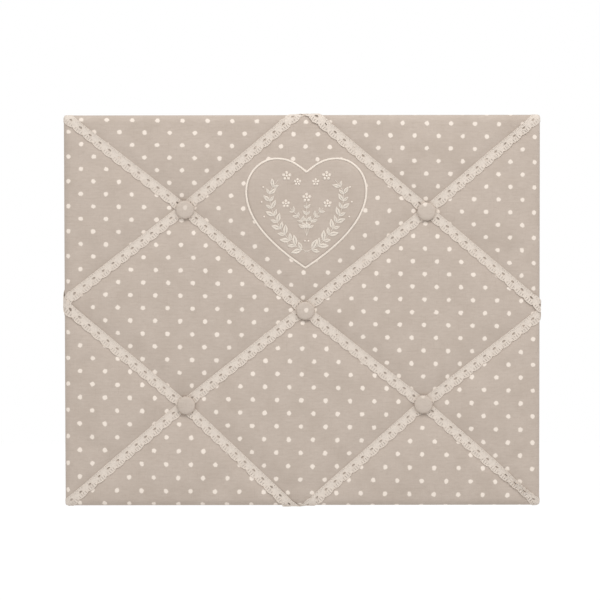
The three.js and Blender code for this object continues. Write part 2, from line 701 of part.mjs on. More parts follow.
// The strap is sheet metal folded double round the ring's bar.
function hangerStrap() {
  const side = new THREE.Shape();
  side.moveTo(STRAP_FACE, -STRAP_LENGTH);
  const meet = Math.acos((STRAP_FACE - LOOP_OUTER) / LOOP_OUTER);
  side.absarc(LOOP_OUTER, 0, LOOP_OUTER, -meet, Math.PI);
  side.lineTo(0, -STRAP_LENGTH);
  side.holes.push(new THREE.Path().absarc(LOOP_OUTER, 0, LOOP_INNER, 0, 2 * Math.PI));
  const settings = { depth: STRAP_WIDTH, bevelEnabled: false, curveSegments: 8 };
  const folded = new THREE.ExtrudeGeometry(side, settings).translate(0, 0, -STRAP_WIDTH / 2);
  folded.rotateX(Math.PI / 2).rotateZ(Math.PI / 2);
  const half = STRAP_WIDTH / 2;
  const plan = new THREE.Shape();
  plan.moveTo(half, 2 * LOOP_OUTER);
  plan.lineTo(-half, 2 * LOOP_OUTER);
  plan.absarc(0, half - STRAP_LENGTH, half, Math.PI, 2 * Math.PI);
  const screwHole = new THREE.Path();
  screwHole.absarc(0, -SCREW_BELOW_LOOP, SCREW_RADIUS + RUNNING_GAP, 0, 2 * Math.PI);
  plan.holes.push(screwHole);
  return geometryOf(solidOf(folded).intersect(solidOf(planPrism(plan, -FAR, FAR, 5))));
}

// The ring hangs down behind the strap, tilted just clear of it.
function hangerRing() {
  const path = new THREE.Path();
  const bar = RING_HALF_SPAN - RING_SHOULDER;
  path.moveTo(-bar, 0);
  path.lineTo(bar, 0);
  path.absarc(bar, -RING_SHOULDER, RING_SHOULDER, Math.PI / 2, 0, true);
  path.absarc(0, -RING_SHOULDER, RING_HALF_SPAN, 0, Math.PI, true);
  path.absarc(-bar, -RING_SHOULDER, RING_SHOULDER, Math.PI, Math.PI / 2, true);
  return loopWire(path, RING_WIRE, RING_ARC_STEPS, RING_SIDES).rotateX(Math.PI / 2 + RING_TILT);
}

function hangerScrew() {
  const under = STRAP_FACE;
  const tip = BACKING_REAR - SCREW_BITE;
  return revolve([
    [0, under + SCREW_HEAD_HEIGHT],
    [SCREW_CROWN_REACH * SCREW_HEAD_RADIUS, under + SCREW_CROWN_RISE * SCREW_HEAD_HEIGHT],
    [SCREW_HEAD_RADIUS, under + SCREW_EDGE_RISE * SCREW_HEAD_HEIGHT],
    [SCREW_HEAD_RADIUS, under],
    [SCREW_RADIUS, under],
    [SCREW_RADIUS, tip + 2 * SCREW_RADIUS],
    [0, tip],
  ], SCREW_SIDES);
}

for (const [side, x] of hangerPlaces) {
  place(`hanger_strap_${side}`, hangerStrap().translate(x, 0, loopHeight), zinc);
  place(`hanger_ring_${side}`, hangerRing().translate(x, LOOP_OUTER, loopHeight), zinc);
  place(`hanger_screw_${side}`, hangerScrew().translate(x, 0, screwHeight), zinc);
}

export default board;
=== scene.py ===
"""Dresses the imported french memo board: padded linen, lace, covered buttons, embroidery and the back."""

import json
import math

import bpy
import numpy as np
from bpy.props import FloatProperty, FloatVectorProperty, IntProperty, PointerProperty
from bpy.types import Operator, Panel, PropertyGroup
from mathutils import Euler, Matrix, Vector
from mathutils.bvhtree import BVHTree


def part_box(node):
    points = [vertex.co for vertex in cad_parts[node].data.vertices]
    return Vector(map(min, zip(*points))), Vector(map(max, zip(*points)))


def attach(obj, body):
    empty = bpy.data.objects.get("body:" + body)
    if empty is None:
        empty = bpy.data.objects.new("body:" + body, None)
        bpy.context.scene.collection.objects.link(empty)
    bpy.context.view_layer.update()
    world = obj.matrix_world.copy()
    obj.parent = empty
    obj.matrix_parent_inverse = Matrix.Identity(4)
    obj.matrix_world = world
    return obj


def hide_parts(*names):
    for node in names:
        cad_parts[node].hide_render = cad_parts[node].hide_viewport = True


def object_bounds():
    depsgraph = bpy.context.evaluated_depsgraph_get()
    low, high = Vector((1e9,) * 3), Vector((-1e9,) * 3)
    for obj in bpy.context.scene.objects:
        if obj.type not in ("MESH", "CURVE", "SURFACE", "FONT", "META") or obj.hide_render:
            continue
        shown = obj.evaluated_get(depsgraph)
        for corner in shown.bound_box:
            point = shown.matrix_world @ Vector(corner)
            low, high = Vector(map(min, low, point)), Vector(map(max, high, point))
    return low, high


bl_info = {
    "name": "French memo board",
    "version": (1, 0, 0),
    "blender": (4, 5, 0),
    "location": "View3D > Sidebar > Memo Board",
    "description": "Builds the soft, sewn and metal pieces of a french memo board around its packed frame",
    "category": "Add Mesh",
}

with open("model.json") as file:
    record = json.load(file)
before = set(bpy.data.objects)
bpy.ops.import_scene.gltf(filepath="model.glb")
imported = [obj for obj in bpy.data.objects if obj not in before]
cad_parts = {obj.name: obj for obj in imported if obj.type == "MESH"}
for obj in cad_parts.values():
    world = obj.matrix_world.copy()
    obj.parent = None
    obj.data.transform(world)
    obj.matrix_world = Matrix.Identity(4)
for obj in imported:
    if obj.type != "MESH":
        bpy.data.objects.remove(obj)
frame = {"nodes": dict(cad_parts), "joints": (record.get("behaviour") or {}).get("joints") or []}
CAD_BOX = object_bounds()
MM = 0.001
TINY = 1e-9
WHITE = (1, 1, 1, 1)
SPOTS = ("top_left", "top_right", "middle", "bottom_left", "bottom_right")
SIDES = ("left", "right")
BODY = "board"


# Places read from the frame
def box_size(node):
    low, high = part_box(node)
    return high - low


def plan_centre(node):
    low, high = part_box(node)
    return (low.x + high.x) / 2, (low.z + high.z) / 2


COVER_LOW, COVER_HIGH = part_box("fabric_cover")
HALF_WIDTH = (COVER_HIGH.x - COVER_LOW.x) / 2
HALF_HEIGHT = (COVER_HIGH.z - COVER_LOW.z) / 2
COVER_REAR = COVER_HIGH.y
CROWN = COVER_LOW.y
BACKING_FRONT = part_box("backing_board")[0].y
PANEL_LOW, PANEL_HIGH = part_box("back_panel")
BUTTON_CENTRES = {spot: plan_centre(f"button_cover_{spot}") for spot in SPOTS}
BUTTON_FRONT, BUTTON_SEAT = (corner.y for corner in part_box("button_cover_middle"))


# Settings that a user would change
def length(name, description, default):
    return FloatProperty(name=name, description=description, default=default, unit="LENGTH", precision=4)


def turning(name, description, degrees):
    return FloatProperty(name=name, description=description, default=math.radians(degrees), subtype="ANGLE")


def shade(name, description, red, green, blue):
    """A colour setting given in the eight-bit values of a colour picker."""
    def linear(value):
        part = value / 255
        return part / 12.92 if part <= 0.04045 else ((part + 0.055) / 1.055) ** 2.4
    colour = (linear(red), linear(green), linear(blue), 1.0)
    return FloatVectorProperty(
        name=name, description=description, subtype="COLOR", size=4, min=0, max=1, default=colour)


class PaddingSettings(PropertyGroup):
    """The stretched linen over the wadding."""
    grid_step: length("Grid step", "Spacing of the linen's mesh before smoothing", 6.2 * MM)
    edge_round: length("Edge round", "Radius of the padded edge", 10 * MM)
    corner_round: length("Corner round", "Radius of the board's corners in plan", 3 * MM)
    rim_height: length("Rim height", "Height of the upright side above the backing board", 2.4 * MM)
    channel_depth: length("Channel depth", "How deep the lace presses into the padding", 1.8 * MM)
    channel_spread: length("Channel spread", "Half width of the dip beside the lace", 10 * MM)
    tuft_depth: length("Tuft depth", "How deep a button pulls the linen in", 4.5 * MM)
    tuft_spread: length("Tuft spread", "Half width of the dip round a button", 17 * MM)
    back_return: length("Back return", "How far the linen is turned in behind", 38 * MM)
    cloth_thickness: length("Cloth thickness", "Thickness of the linen", 0.5 * MM)
    pressure: FloatProperty(
        name="Pressure", description="Push of the wadding in the cloth simulation", default=3.0)
    cloth_spare: FloatProperty(
        name="Cloth spare", description="Share of spare cloth between the tied lines", default=0.006)
    puff_limit: length("Puff limit", "Furthest that the simulation may move the linen", 2.6 * MM)


class DotSettings(PropertyGroup):
    """The staggered dots on the linen."""
    half_across: length("Half step across", "Half the spacing of dots in a row", 14.13 * MM)
    half_down: length("Half step down", "Half the spacing of rows that line up", 14.77 * MM)
    tilt: turning("Tilt", "Clockwise turn of the rows", 0.77)
    start_x: length("Start across", "Place of one dot from the board's middle", 1.01 * MM)
    start_z: length("Start up", "Place of one dot from the board's middle", 15.39 * MM)
    radius: length("Radius", "Radius of a dot", 2.55 * MM)
    softness: length("Softness", "Width of a dot's soft edge", 0.7 * MM)
    pull_across: FloatVectorProperty(
        name="Pull across", size=5, unit="LENGTH",
        description="How far stretching moved the dots across: x, z, x2, x3 and x2z at the edge",
        default=(-1.62 * MM, 0.91 * MM, -2.72 * MM, 2.06 * MM, -2.58 * MM))
    pull_up: FloatVectorProperty(
        name="Pull up", size=5, unit="LENGTH",
        description="How far stretching moved the dots up: x, z, z2, z3 and xz2 at the edge",
        default=(-0.92 * MM, -1.16 * MM, -4.98 * MM, 1.47 * MM, 1.16 * MM))


class LaceSettings(PropertyGroup):
    """The scalloped edging lace."""
    pitch: length("Pitch", "Length of one scallop", 14.1 * MM)
    straight_side: length("Straight side", "From the middle to the straight edge", 6.2 * MM)
    scallop_root: length("Scallop root", "From the middle to the notches between scallops", 5.0 * MM)
    scallop_depth: length("Scallop depth", "How far a scallop bulges past its notches", 1.7 * MM)
    eyelet_height: length("Eyelet height", "From the middle up to the row of eyelets", 1.0 * MM)
    eyelet_length: length("Eyelet length", "Length of an eyelet along the lace", 4.0 * MM)
    eyelet_width: length("Eyelet width", "Width of an eyelet across the lace", 2.2 * MM)
    thickness: length("Thickness", "Thickness of the lace's ground", 0.4 * MM)
    cord: length("Cord", "Radius of the raised cords", 0.33 * MM)
    clearance: length("Clearance", "From the linen to the lace", 0.25 * MM)
    crossing_lift: length("Crossing lift", "How far the upper lace rises over the lower one", 0.9 * MM)
    tail: length("Tail", "How far the lace runs in behind", 26 * MM)


class HeartSettings(PropertyGroup):
    """The embroidered heart patch."""
    thickness: length("Thickness", "Thickness of the patch", 0.4 * MM)
    stitch_width: length("Stitch width", "Width of the satin-stitched outline", 2.7 * MM)
    stitch_pitch: length("Stitch pitch", "From one satin stitch to the next", 0.42 * MM)
    thread: length("Thread", "Radius of the embroidery thread", 0.32 * MM)


class ButtonSettings(PropertyGroup):
    """The linen-covered buttons."""
    segments: IntProperty(name="Segments", description="Faces round a button", default=72)
    pleats: IntProperty(name="Pleats", description="Gathers round a button's rim", default=18)
    pleat_depth: length("Pleat depth", "Depth of the gathers at the rim", 0.16 * MM)


class FinishSettings(PropertyGroup):
    """Colours of the finishes."""
    linen: shade("Linen", "Greige linen", 197, 183, 171)
    linen_dark: shade("Linen slub", "Darker slubs in the linen", 172, 157, 143)
    linen_light: shade("Linen fleck", "Paler flecks in the linen", 214, 202, 190)
    dot: shade("Dot", "Off-white dots", 247, 235, 223)
    lace: shade("Lace", "Ecru cotton lace", 231, 219, 207)
    embroidery: shade("Embroidery", "Cream embroidery thread", 247, 236, 224)
    leaf: shade("Leaf thread", "Pale thread of the leaves", 238, 228, 216)
    wadding: shade("Wadding", "Polyester wadding", 236, 232, 222)
    hardboard: shade("Hardboard", "Brown back panel", 128, 94, 64)
    fibreboard: shade("Fibreboard", "Raw backing board", 172, 140, 103)
    zinc: shade("Zinc", "Zinc-plated steel", 188, 190, 194)
    tinplate: shade("Tinplate", "Tinned sheet", 186, 187, 184)
    horn: shade("Horn", "Pale plastic of the tie anchors", 233, 226, 212)


class StageSettings(PropertyGroup):
    """Camera, light and floor."""
    distance: length("Distance", "From the camera to the padded front", 2.5)
    picture_width: length("Picture width", "Width of the picture at the padded front", 0.6927)
    view_x: length("View across", "Place across that the camera looks at", -2.47 * MM)
    view_z: length("View up", "Height that the camera looks at", 12.5 * MM)
    rise: turning("Rise", "How far above the level the camera looks from", 1.7)
    roll: turning("Roll", "Turn of the camera about its view", -0.085)
    floor_drop: length("Floor drop", "From the board down to the floor", 0.6)
    sky: FloatProperty(name="Sky", description="Strength of the even light", default=0.8)
    key: FloatProperty(name="Key", description="Power of the large lamp above, in watts", default=24.6)


class BoardSettings(PropertyGroup):
    """All settings of the memo board."""
    padding: PointerProperty(type=PaddingSettings)
    dots: PointerProperty(type=DotSettings)
    lace: PointerProperty(type=LaceSettings)
    heart: PointerProperty(type=HeartSettings)
    button: PointerProperty(type=ButtonSettings)
    finish: PointerProperty(type=FinishSettings)
    stage: PointerProperty(type=StageSettings)


def settings():
    return bpy.context.scene.memo_board


# Shader arithmetic
class Value:
    """A socket that takes part in Python arithmetic; each operation adds its Math node."""

    def __init__(self, paint, socket):
        self.paint = paint
        self.socket = socket

    def __add__(self, other):
        return self.paint.math("ADD", self, other)

    def __sub__(self, other):
        return self.paint.math("SUBTRACT", self, other)

    def __rsub__(self, other):
        return self.paint.math("SUBTRACT", other, self)

    def __mul__(self, other):
        return self.paint.math("MULTIPLY", self, other)

    def __truediv__(self, other):
        return self.paint.math("DIVIDE", self, other)

    def __rtruediv__(self, other):
        return self.paint.math("DIVIDE", other, self)

    __radd__ = __add__
    __rmul__ = __mul__


class Paint:
    """One material and the nodes that are added to it."""

    def __init__(self, name, **constants):
        self.material = bpy.data.materials.new(name)
        self.material.use_nodes = True
        self.tree = self.material.node_tree
        self.shader = self.tree.nodes["Principled BSDF"]
        for socket, value in constants.items():
            self.shader.inputs[socket.replace("_", " ")].default_value = value

    def node(self, kind, options=None, inputs=None, outputs=0):
        """Adds a node with its options set first, then its inputs; gives back the named outputs."""
        made = self.tree.nodes.new(kind)
        for name, value in (options or {}).items():
            setattr(made, name, value)
        for name, value in (inputs or {}).items():
            self.feed(made.inputs[name], value)
        if isinstance(outputs, tuple):
            return tuple(Value(self, made.outputs[name]) for name in outputs)
        return Value(self, made.outputs[outputs])

    def feed(self, socket, value):
        if isinstance(value, Value):
            self.tree.links.new(value.socket, socket)
        else:
            socket.default_value = value

    def math(self, operation, *terms):
        return self.node("ShaderNodeMath", {"operation": operation}, dict(enumerate(terms)))

    def ramp(self, value, low, high):
        """Zero before low and one past high, with a smooth rise between them."""
        inputs = {"Value": value, "From Min": low, "From Max": high}
        return self.node("ShaderNodeMapRange", {"interpolation_type": "SMOOTHSTEP"}, inputs)

    def mix(self, factor, first, second):
        """Blends two colours: sockets 6 and 7 take them, and output 2 gives the blend."""
        return self.node("ShaderNodeMix", {"data_type": "RGBA"}, {0: factor, 6: first, 7: second}, 2)

    def layers(self, ground, *layers):
        """Lays tones over a ground, each where its field passes from low to high, at its strength."""
        for field, low, high, strength, tone in layers:
            ground = self.mix(self.ramp(field, low, high) * strength, ground, tone)
        return ground

    def noise(self, place, scale, detail=2.0, roughness=0.5):
        """Noise at a place of two or three axes."""
        vector = self.node("ShaderNodeCombineXYZ", None, dict(enumerate(place)))
        inputs = {"Vector": vector, "Scale": scale, "Detail": detail, "Roughness": roughness}
        return self.node("ShaderNodeTexNoise", None, inputs)

    def uv(self):
        """The piece's own flat coordinates, in millimetres."""
        place = self.node("ShaderNodeUVMap", {"uv_map": "flat"})
        u, v = self.node("ShaderNodeSeparateXYZ", None, {0: place}, ("X", "Y"))
        return u * (1 / MM), v * (1 / MM)

    def place(self):
        """Object coordinates, in millimetres."""
        place = self.node("ShaderNodeTexCoord", None, None, "Object")
        axes = self.node("ShaderNodeSeparateXYZ", None, {0: place}, ("X", "Y", "Z"))
        return tuple(axis * (1 / MM) for axis in axes)

    def bump(self, height, strength, distance):
        inputs = {"Height": height, "Strength": strength, "Distance": distance}
        self.feed(self.shader.inputs["Normal"], self.node("ShaderNodeBump", None, inputs))

    def colour(self, value):
        self.feed(self.shader.inputs["Base Color"], value)

    def rough(self, value):
        self.feed(self.shader.inputs["Roughness"], value)


THREADS_PER_MM = 1.7


def weave(paint, u, v):
    """Over-and-under threads, and how strongly each weft and warp thread slubs."""
    weft = paint.noise((u * 0.035, v * THREADS_PER_MM), 1.0, 2.0, 0.6)
    warp = paint.noise((u * THREADS_PER_MM, v * 0.04, 7.0), 1.0, 2.0, 0.6)
    turn = math.pi * THREADS_PER_MM
    over = paint.math("SINE", u * turn) * paint.math("SINE", v * turn)
    return weft, warp, over


def dot_mask(paint, u, v, pulled):
    """One inside the staggered dots, zero outside, with a soft uneven edge."""
    dots = settings().dots
    across, down = 2 * dots.half_across / MM, 2 * dots.half_down / MM
    x = u - dots.start_x / MM
    z = v - dots.start_z / MM
    if pulled:
        share_x, share_z = u * (MM / HALF_WIDTH), v * (MM / HALF_HEIGHT)
        square_x, square_z = share_x * share_x, share_z * share_z
        ways_across = (share_x, share_z, square_x, square_x * share_x, square_x * share_z)
        ways_up = (share_x, share_z, square_z, square_z * share_z, share_x * square_z)
        for way, pull in zip(ways_across, dots.pull_across):
            x = x - way * (pull / MM)
        for way, pull in zip(ways_up, dots.pull_up):
            z = z - way * (pull / MM)
    turn_cos, turn_sin = math.cos(dots.tilt), math.sin(dots.tilt)
    column = (x * turn_cos - z * turn_sin) / across
    row = (x * turn_sin + z * turn_cos) / down

    def squared_distance(shift):
        a, b = column + shift, row + shift
        off_a = (a - paint.math("ROUND", a)) * across
        off_b = (b - paint.math("ROUND", b)) * down
        return off_a * off_a + off_b * off_b
    nearest = paint.math("SQRT", paint.math("MINIMUM", squared_distance(0.0), squared_distance(0.5)))
    uneven = (paint.noise((u, v, 5.0), 0.9, 2.0) - 0.5) * 1.1
    lopsided = (paint.noise((u, v, 11.0), 0.33, 1.0) - 0.5) * 2.0
    radius, soft = dots.radius / MM, dots.softness / MM
    return 1 - paint.ramp(nearest + uneven + lopsided, radius - soft, radius + soft)


def toned(colour, share):
    """A colour made deeper or paler by a share."""
    return tuple(min(1.0, share * part) for part in colour[:3]) + (1.0,)


def linen_finish(name, dots=None):
    """Slubby plain-woven linen, without dots, with dots pulled by the stretching, or with faint worn dots on
    a paler ground, which is painted light for the brighter button domes.
    """
    finish = settings().finish
    dark, light = finish.linen_dark, finish.linen_light
    paint = Paint(name, Roughness=0.92, Sheen_Weight=0.12, Sheen_Roughness=0.5, Specular_IOR_Level=0.2)
    u, v = paint.uv()
    weft, warp, over = weave(paint, u, v)
    flecks = paint.noise((u, v, 9.0), 0.55, 3.0, 0.65)
    slubs = paint.noise((u * 0.14, v * 0.4, 4.0), 1.0, 2.0)
    mottle = paint.noise((u, v, 1.0), 0.03, 2.0)
    # The buttons' ground is mixed towards the paler fleck tone: painted light for the domes, which look
    # brighter than the flat linen
    ground = paint.mix(0.4, finish.linen, light) if dots == "worn_dots_painted_light" else finish.linen
    cloth = paint.layers(
        ground,
        (weft, 0.55, 0.8, 0.52, dark),
        (warp, 0.58, 0.82, 0.6, dark),
        (weft, 0.42, 0.2, 0.45, light),
        (flecks, 0.55, 0.75, 0.3, dark),
        (flecks, 0.45, 0.28, 0.28, light),
        (slubs, 0.5, 0.75, 0.18, dark),
        (slubs, 0.5, 0.25, 0.18, light),
        (mottle, 0.35, 0.75, 0.22, dark))
    height = over * 0.5 + weft * 0.8 + warp * 0.5
    if dots:
        mask = dot_mask(paint, u, v, dots == "pulled")
        if dots == "worn_dots_painted_light":
            mask = mask * paint.node("ShaderNodeAttribute", {"attribute_name": "dot_strength"}, None, "Fac")
        flock = paint.noise((u, v, 2.0), 3.0, 2.0)
        spot = paint.layers(finish.dot, (flock, 0.35, 0.75, 0.5, finish.lace))
        cloth = paint.mix(mask * 0.96, cloth, spot)
        height = height + mask * 1.2
    paint.colour(cloth)
    paint.bump(height, 0.35, 0.25 * MM)
    return paint.material


def lace_finish():
    """Cotton lace: fine crossed threads that follow the ribbon."""
    lace = settings().finish.lace
    deep, pale = toned(lace, 0.72), toned(lace, 1.12)
    paint = Paint("ecru_lace", Roughness=0.85, Sheen_Weight=0.15, Specular_IOR_Level=0.25)
    u, v = paint.uv()
    threads = paint.math("SINE", (u + v * 0.6) * 9.0) * paint.math("SINE", (u - v * 0.6) * 9.0)
    uneven = paint.noise((u, v), 0.5, 3.0)
    specks = paint.noise((u, v, 3.0), 0.95, 2.0, 0.6)
    paint.colour(paint.layers(
        lace,
        (threads, 0.1, -0.8, 0.3, deep),
        (uneven, 0.5, 0.8, 0.3, deep),
        (specks, 0.56, 0.72, 0.5, deep),
        (specks, 0.46, 0.3, 0.8, pale)))
    paint.bump(threads + specks * 2.0, 0.5, 0.12 * MM)
    return paint.material


def thread_finish(name, colour):
    """Lustrous embroidery thread."""
    paint = Paint(name, Roughness=0.55, Sheen_Weight=0.2, Specular_IOR_Level=0.4)
    place = paint.place()
    uneven = paint.noise(place, 1.6, 3.0)
    paint.colour(paint.layers(colour, (uneven, 0.45, 0.8, 0.6, toned(colour, 0.8))))
    paint.bump(paint.noise(place, 6.0, 2.0), 0.2, 0.1 * MM)
    return paint.material


def felt_finish():
    """Fluffy wadding."""
    pale = settings().finish.wadding
    paint = Paint("wadding_felt", Roughness=1.0, Sheen_Weight=0.3)
    fluff = paint.noise(paint.place(), 0.6, 5.0, 0.7)
    paint.colour(paint.layers(pale, (fluff, 0.4, 0.7, 1.0, toned(pale, 0.85))))
    paint.bump(fluff, 0.6, 0.6 * MM)
    return paint.material


def pressed_board_finish(name, colour, gloss):
    """Pressed wood fibres: short streaks in every direction and a few dark specks."""
    deep, pale = toned(colour, 0.6), toned(colour, 1.3)
    paint = Paint(name, Specular_IOR_Level=0.35)
    x, y, z = paint.place()
    fibres = paint.noise((x * 0.5, y, z * 1.6), 0.9, 6.0, 0.7)
    crossed = paint.noise((x * 1.6, y, z * 0.5), 0.7, 6.0, 0.7)
    cloud = paint.noise((x, y, z), 0.012, 3.0)
    specks = paint.noise((x, y, z), 0.8, 1.0)
    paint.colour(paint.layers(
        colour,
        (fibres, 0.35, 0.7, 1.0, deep),
        (crossed, 0.5, 0.8, 0.7, pale),
        (cloud, 0.35, 0.7, 0.35, deep),
        (specks, 0.7, 0.78, 0.7, deep)))
    paint.rough(gloss + paint.ramp(fibres, 0.3, 0.7) * 0.2)
    paint.bump(fibres + crossed, 0.25, 0.15 * MM)
    return paint.material


def metal_finish(name, colour, roughness):
    """Plated sheet metal with faint clouding and fine scratches."""
    paint = Paint(name, Metallic=1.0)
    x, y, z = paint.place()
    cloud = paint.noise((x, y, z), 0.5, 4.0, 0.6)
    scratch = paint.noise((x * 6.0, y * 6.0, z * 0.4), 1.0, 2.0)
    paint.colour(paint.layers(colour, (cloud, 0.35, 0.75, 0.7, toned(colour, 0.72))))
    paint.rough(roughness + (cloud - 0.5) * 0.25 + paint.ramp(scratch, 0.55, 0.8) * 0.12)
    paint.bump(scratch, 0.08, 0.05 * MM)
    return paint.material


def plastic_finish(name, colour):
    """Cast plastic with faint clouding."""
    paint = Paint(name, Specular_IOR_Level=0.5)
    cloud = paint.noise(paint.place(), 0.6, 3.0)
    paint.colour(paint.layers(colour, (cloud, 0.4, 0.7, 1.0, toned(colour, 0.85))))
    paint.rough(0.42 + cloud * 0.2)
    return paint.material


# Mesh helpers
# Edges that turn more than this, in degrees, stay sharp
SOFT_CREASE = 50
HARD_CREASE = 40
# The corners of a cord's four-sided section, out and up
CORD_SECTION = ((1, 0), (0, 1), (-1, 0), (0, -1))
CORD_SIDES = len(CORD_SECTION)


def deselect_all():
    if bpy.context.object and bpy.context.object.mode != "OBJECT":
        bpy.ops.object.mode_set(mode="OBJECT")
    bpy.ops.object.select_all(action="DESELECT")


def make_active(piece):
    deselect_all()
    bpy.context.view_layer.objects.active = piece
    piece.select_set(True)


def add_to_scene(piece):
    bpy.context.scene.collection.objects.link(piece)
    return piece


def piece_from(name, vertices, faces, uvs=None):
    """A new piece from its corners and faces; uvs holds one flat place for each face corner, in order."""
    mesh = bpy.data.meshes.new(name)
    mesh.from_pydata([tuple(map(float, corner)) for corner in vertices], [], faces)
    if uvs is not None:
        layer = mesh.uv_layers.new(name="flat")
        layer.data.foreach_set("uv", np.asarray(uvs, dtype=np.float32).ravel())
    return add_to_scene(bpy.data.objects.new(name, mesh))


def apply_place(name):
    """Puts the new primitive's place, turn and size into its mesh, and names it."""
    bpy.ops.object.transform_apply(location=True, rotation=True, scale=True)
    piece = bpy.context.object
    piece.name = name
    return piece


def cube_piece(name, middle, size):
    deselect_all()
    bpy.ops.mesh.primitive_cube_add(size=1, location=middle, scale=size)
    return apply_place(name)


def disc_piece(name, sides, fill, radius, middle, turn):
    """A disc turned about X so that it faces along Y."""
    deselect_all()
    bpy.ops.mesh.primitive_circle_add(
        vertices=sides, radius=radius, fill_type=fill, location=middle, rotation=(turn, 0, 0))
    return apply_place(name)


def apply_modifier(piece, kind, **options):
    make_active(piece)
    modifier = piece.modifiers.new(kind.lower(), kind)
    for name, value in options.items():
        setattr(modifier, name, value)
    bpy.ops.object.modifier_apply(modifier=modifier.name)


def edit_all():
    bpy.ops.object.mode_set(mode="EDIT")
    bpy.ops.mesh.select_all(action="SELECT")


def leave_edit():
    bpy.ops.object.mode_set(mode="OBJECT")


def extrude_along(extrude, profile, centre_x, centre_z):
    """Extrudes the selection along Y, through a profile of radii and depths round a centre in plan."""
    for (radius, depth), (next_radius, next_depth) in zip(profile, profile[1:]):
        extrude(TRANSFORM_OT_translate={"value": (0, next_depth - depth, 0)})
        share = next_radius / radius
        middle = (centre_x, next_depth, centre_z)
        bpy.ops.transform.resize(value=(share, 1, share), center_override=middle)


def turn_outwards(piece):
    make_active(piece)
    edit_all()
    bpy.ops.mesh.normals_make_consistent(inside=False)
    leave_edit()


def shade_smooth(piece, angle=None):
    make_active(piece)
    if angle is None:
        bpy.ops.object.shade_smooth()
    else:
        bpy.ops.object.shade_smooth_by_angle(angle=math.radians(angle))


def finish_piece(piece, material, slot, *nodes, body=BODY):
    """Gives a piece its one finish, hangs it on its body and hides the imported parts that it stands for."""
    piece.data.materials.clear()
    piece.data.materials.append(material)
    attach(piece, body)
    if nodes:
        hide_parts(*nodes)
    return piece


def surface_of(*pieces):
    """The outer surfaces of pieces, for finding where other pieces lie on them."""
    corners, faces = [], []
    for piece in pieces:
        start = len(corners)
        corners.extend(vertex.co.copy() for vertex in piece.data.vertices)
        faces.extend([start + index for index in face.vertices] for face in piece.data.polygons)
    return BVHTree.FromPolygons(corners, faces)


def arc(across, up, radius, start, end, steps):
    """Points round a centre from one turn to another."""
    turns = np.linspace(start, end, steps + 1)
    return [(across + radius * math.cos(turn), up + radius * math.sin(turn)) for turn in turns]


# Rays start on a plane well ahead of the board and look back at it
FAR_AHEAD = -0.2


def front_of(surface, x, z):
    """Where the front of a surface lies at a place in plan, and which way it faces there."""
    spot, facing, _, _ = surface.ray_cast(Vector((x, FAR_AHEAD, z)), Vector((0, 1, 0)))
    if spot is None:
        raise RuntimeError(f"nothing lies at {x:.4f}, {z:.4f}")
    return spot, facing


def lay_on(surface, x, z, clearance):
    """The point that lies a clearance ahead of a surface at a place in plan."""
    return front_of(surface, x, z)[0] + Vector((0, -clearance, 0))


# Linen cover
# Where two short ribbons end on each edge, from its middle: the left or the upper ribbon first
SHIFT_TOP = (-7 * MM, 13 * MM)
SHIFT_BOTTOM = (-14 * MM, 7 * MM)
SHIFT_LEFT = (10 * MM, 7 * MM)
SHIFT_RIGHT = (5 * MM, -4 * MM)
SHORT_OUTSET = 1.6 * MM
RISING_SHIFT = 1.8 * MM


def beside_button(spot, column, row, shift):
    """A button's place, moved square to a ribbon that runs past it."""
    reach = math.hypot(HALF_WIDTH, HALF_HEIGHT)
    x, z = BUTTON_CENTRES[spot]
    return x + column * shift * HALF_HEIGHT / reach, z + row * shift * HALF_WIDTH / reach


def ribbon_runs():
    """Each ribbon's name, whether it rides over the others, and its way in plan from left to right."""
    wide, tall = HALF_WIDTH, HALF_HEIGHT
    centre = BUTTON_CENTRES
    return [
        ("lace_long_rising", False, [
            (-wide, -tall), beside_button("bottom_left", -1, 1, RISING_SHIFT),
            beside_button("middle", -1, 1, RISING_SHIFT), centre["top_right"], (wide, tall)]),
        ("lace_top_left", False, [
            (-wide, SHIFT_LEFT[0]), beside_button("top_left", -1, 1, SHORT_OUTSET), (SHIFT_TOP[0], tall)]),
        ("lace_bottom_right", False, [
            (SHIFT_BOTTOM[1], -tall), centre["bottom_right"], (wide, SHIFT_RIGHT[1])]),
        ("lace_long_falling", True, [
            (-wide, tall), centre["top_left"], centre["middle"], centre["bottom_right"], (wide, -tall)]),
        ("lace_top_right", True, [
            (SHIFT_TOP[1], tall), beside_button("top_right", 1, 1, SHORT_OUTSET), (wide, SHIFT_RIGHT[0])]),
        ("lace_bottom_left", True, [
            (-wide, SHIFT_LEFT[1]), beside_button("bottom_left", -1, -1, SHORT_OUTSET),
            (SHIFT_BOTTOM[0], -tall)]),
    ]


def distance_to_way(x, z, points):
    """Distance in plan from places to a way of straight runs."""
    nearest = np.full(np.shape(x), np.inf)
    for (ax, az), (bx, bz) in zip(points, points[1:]):
        run = np.array([bx - ax, bz - az])
        along = np.clip(((x - ax) * run[0] + (z - az) * run[1]) / (run @ run), 0, 1)
        nearest = np.minimum(nearest, np.hypot(x - ax - along * run[0], z - az - along * run[1]))
    return nearest


def bell(distance, spread):
    return np.exp(-((distance / spread) ** 2))


EDGE_STEPS = 6


def grid_lines(half, padding):
    """Places of the linen's grid lines from one edge to the other, and their places on the flat cloth."""
    inner = half - padding.edge_round
    count = 2 * math.ceil(inner / padding.grid_step)
    middle = np.linspace(-inner, inner, count + 1)
    turns = np.linspace(0, math.pi / 2, EDGE_STEPS + 1)[1:]
    rolled = inner + padding.edge_round * np.sin(turns)
    drop = CROWN - (BACKING_FRONT - padding.rim_height)
    steps = np.hypot(np.diff(np.r_[inner, rolled]), np.diff(drop * np.cos(np.r_[0, turns])))
    flat = inner + np.cumsum(steps)
    lines = np.r_[-rolled[::-1], middle, rolled]
    return lines, np.r_[-flat[::-1], middle, flat]


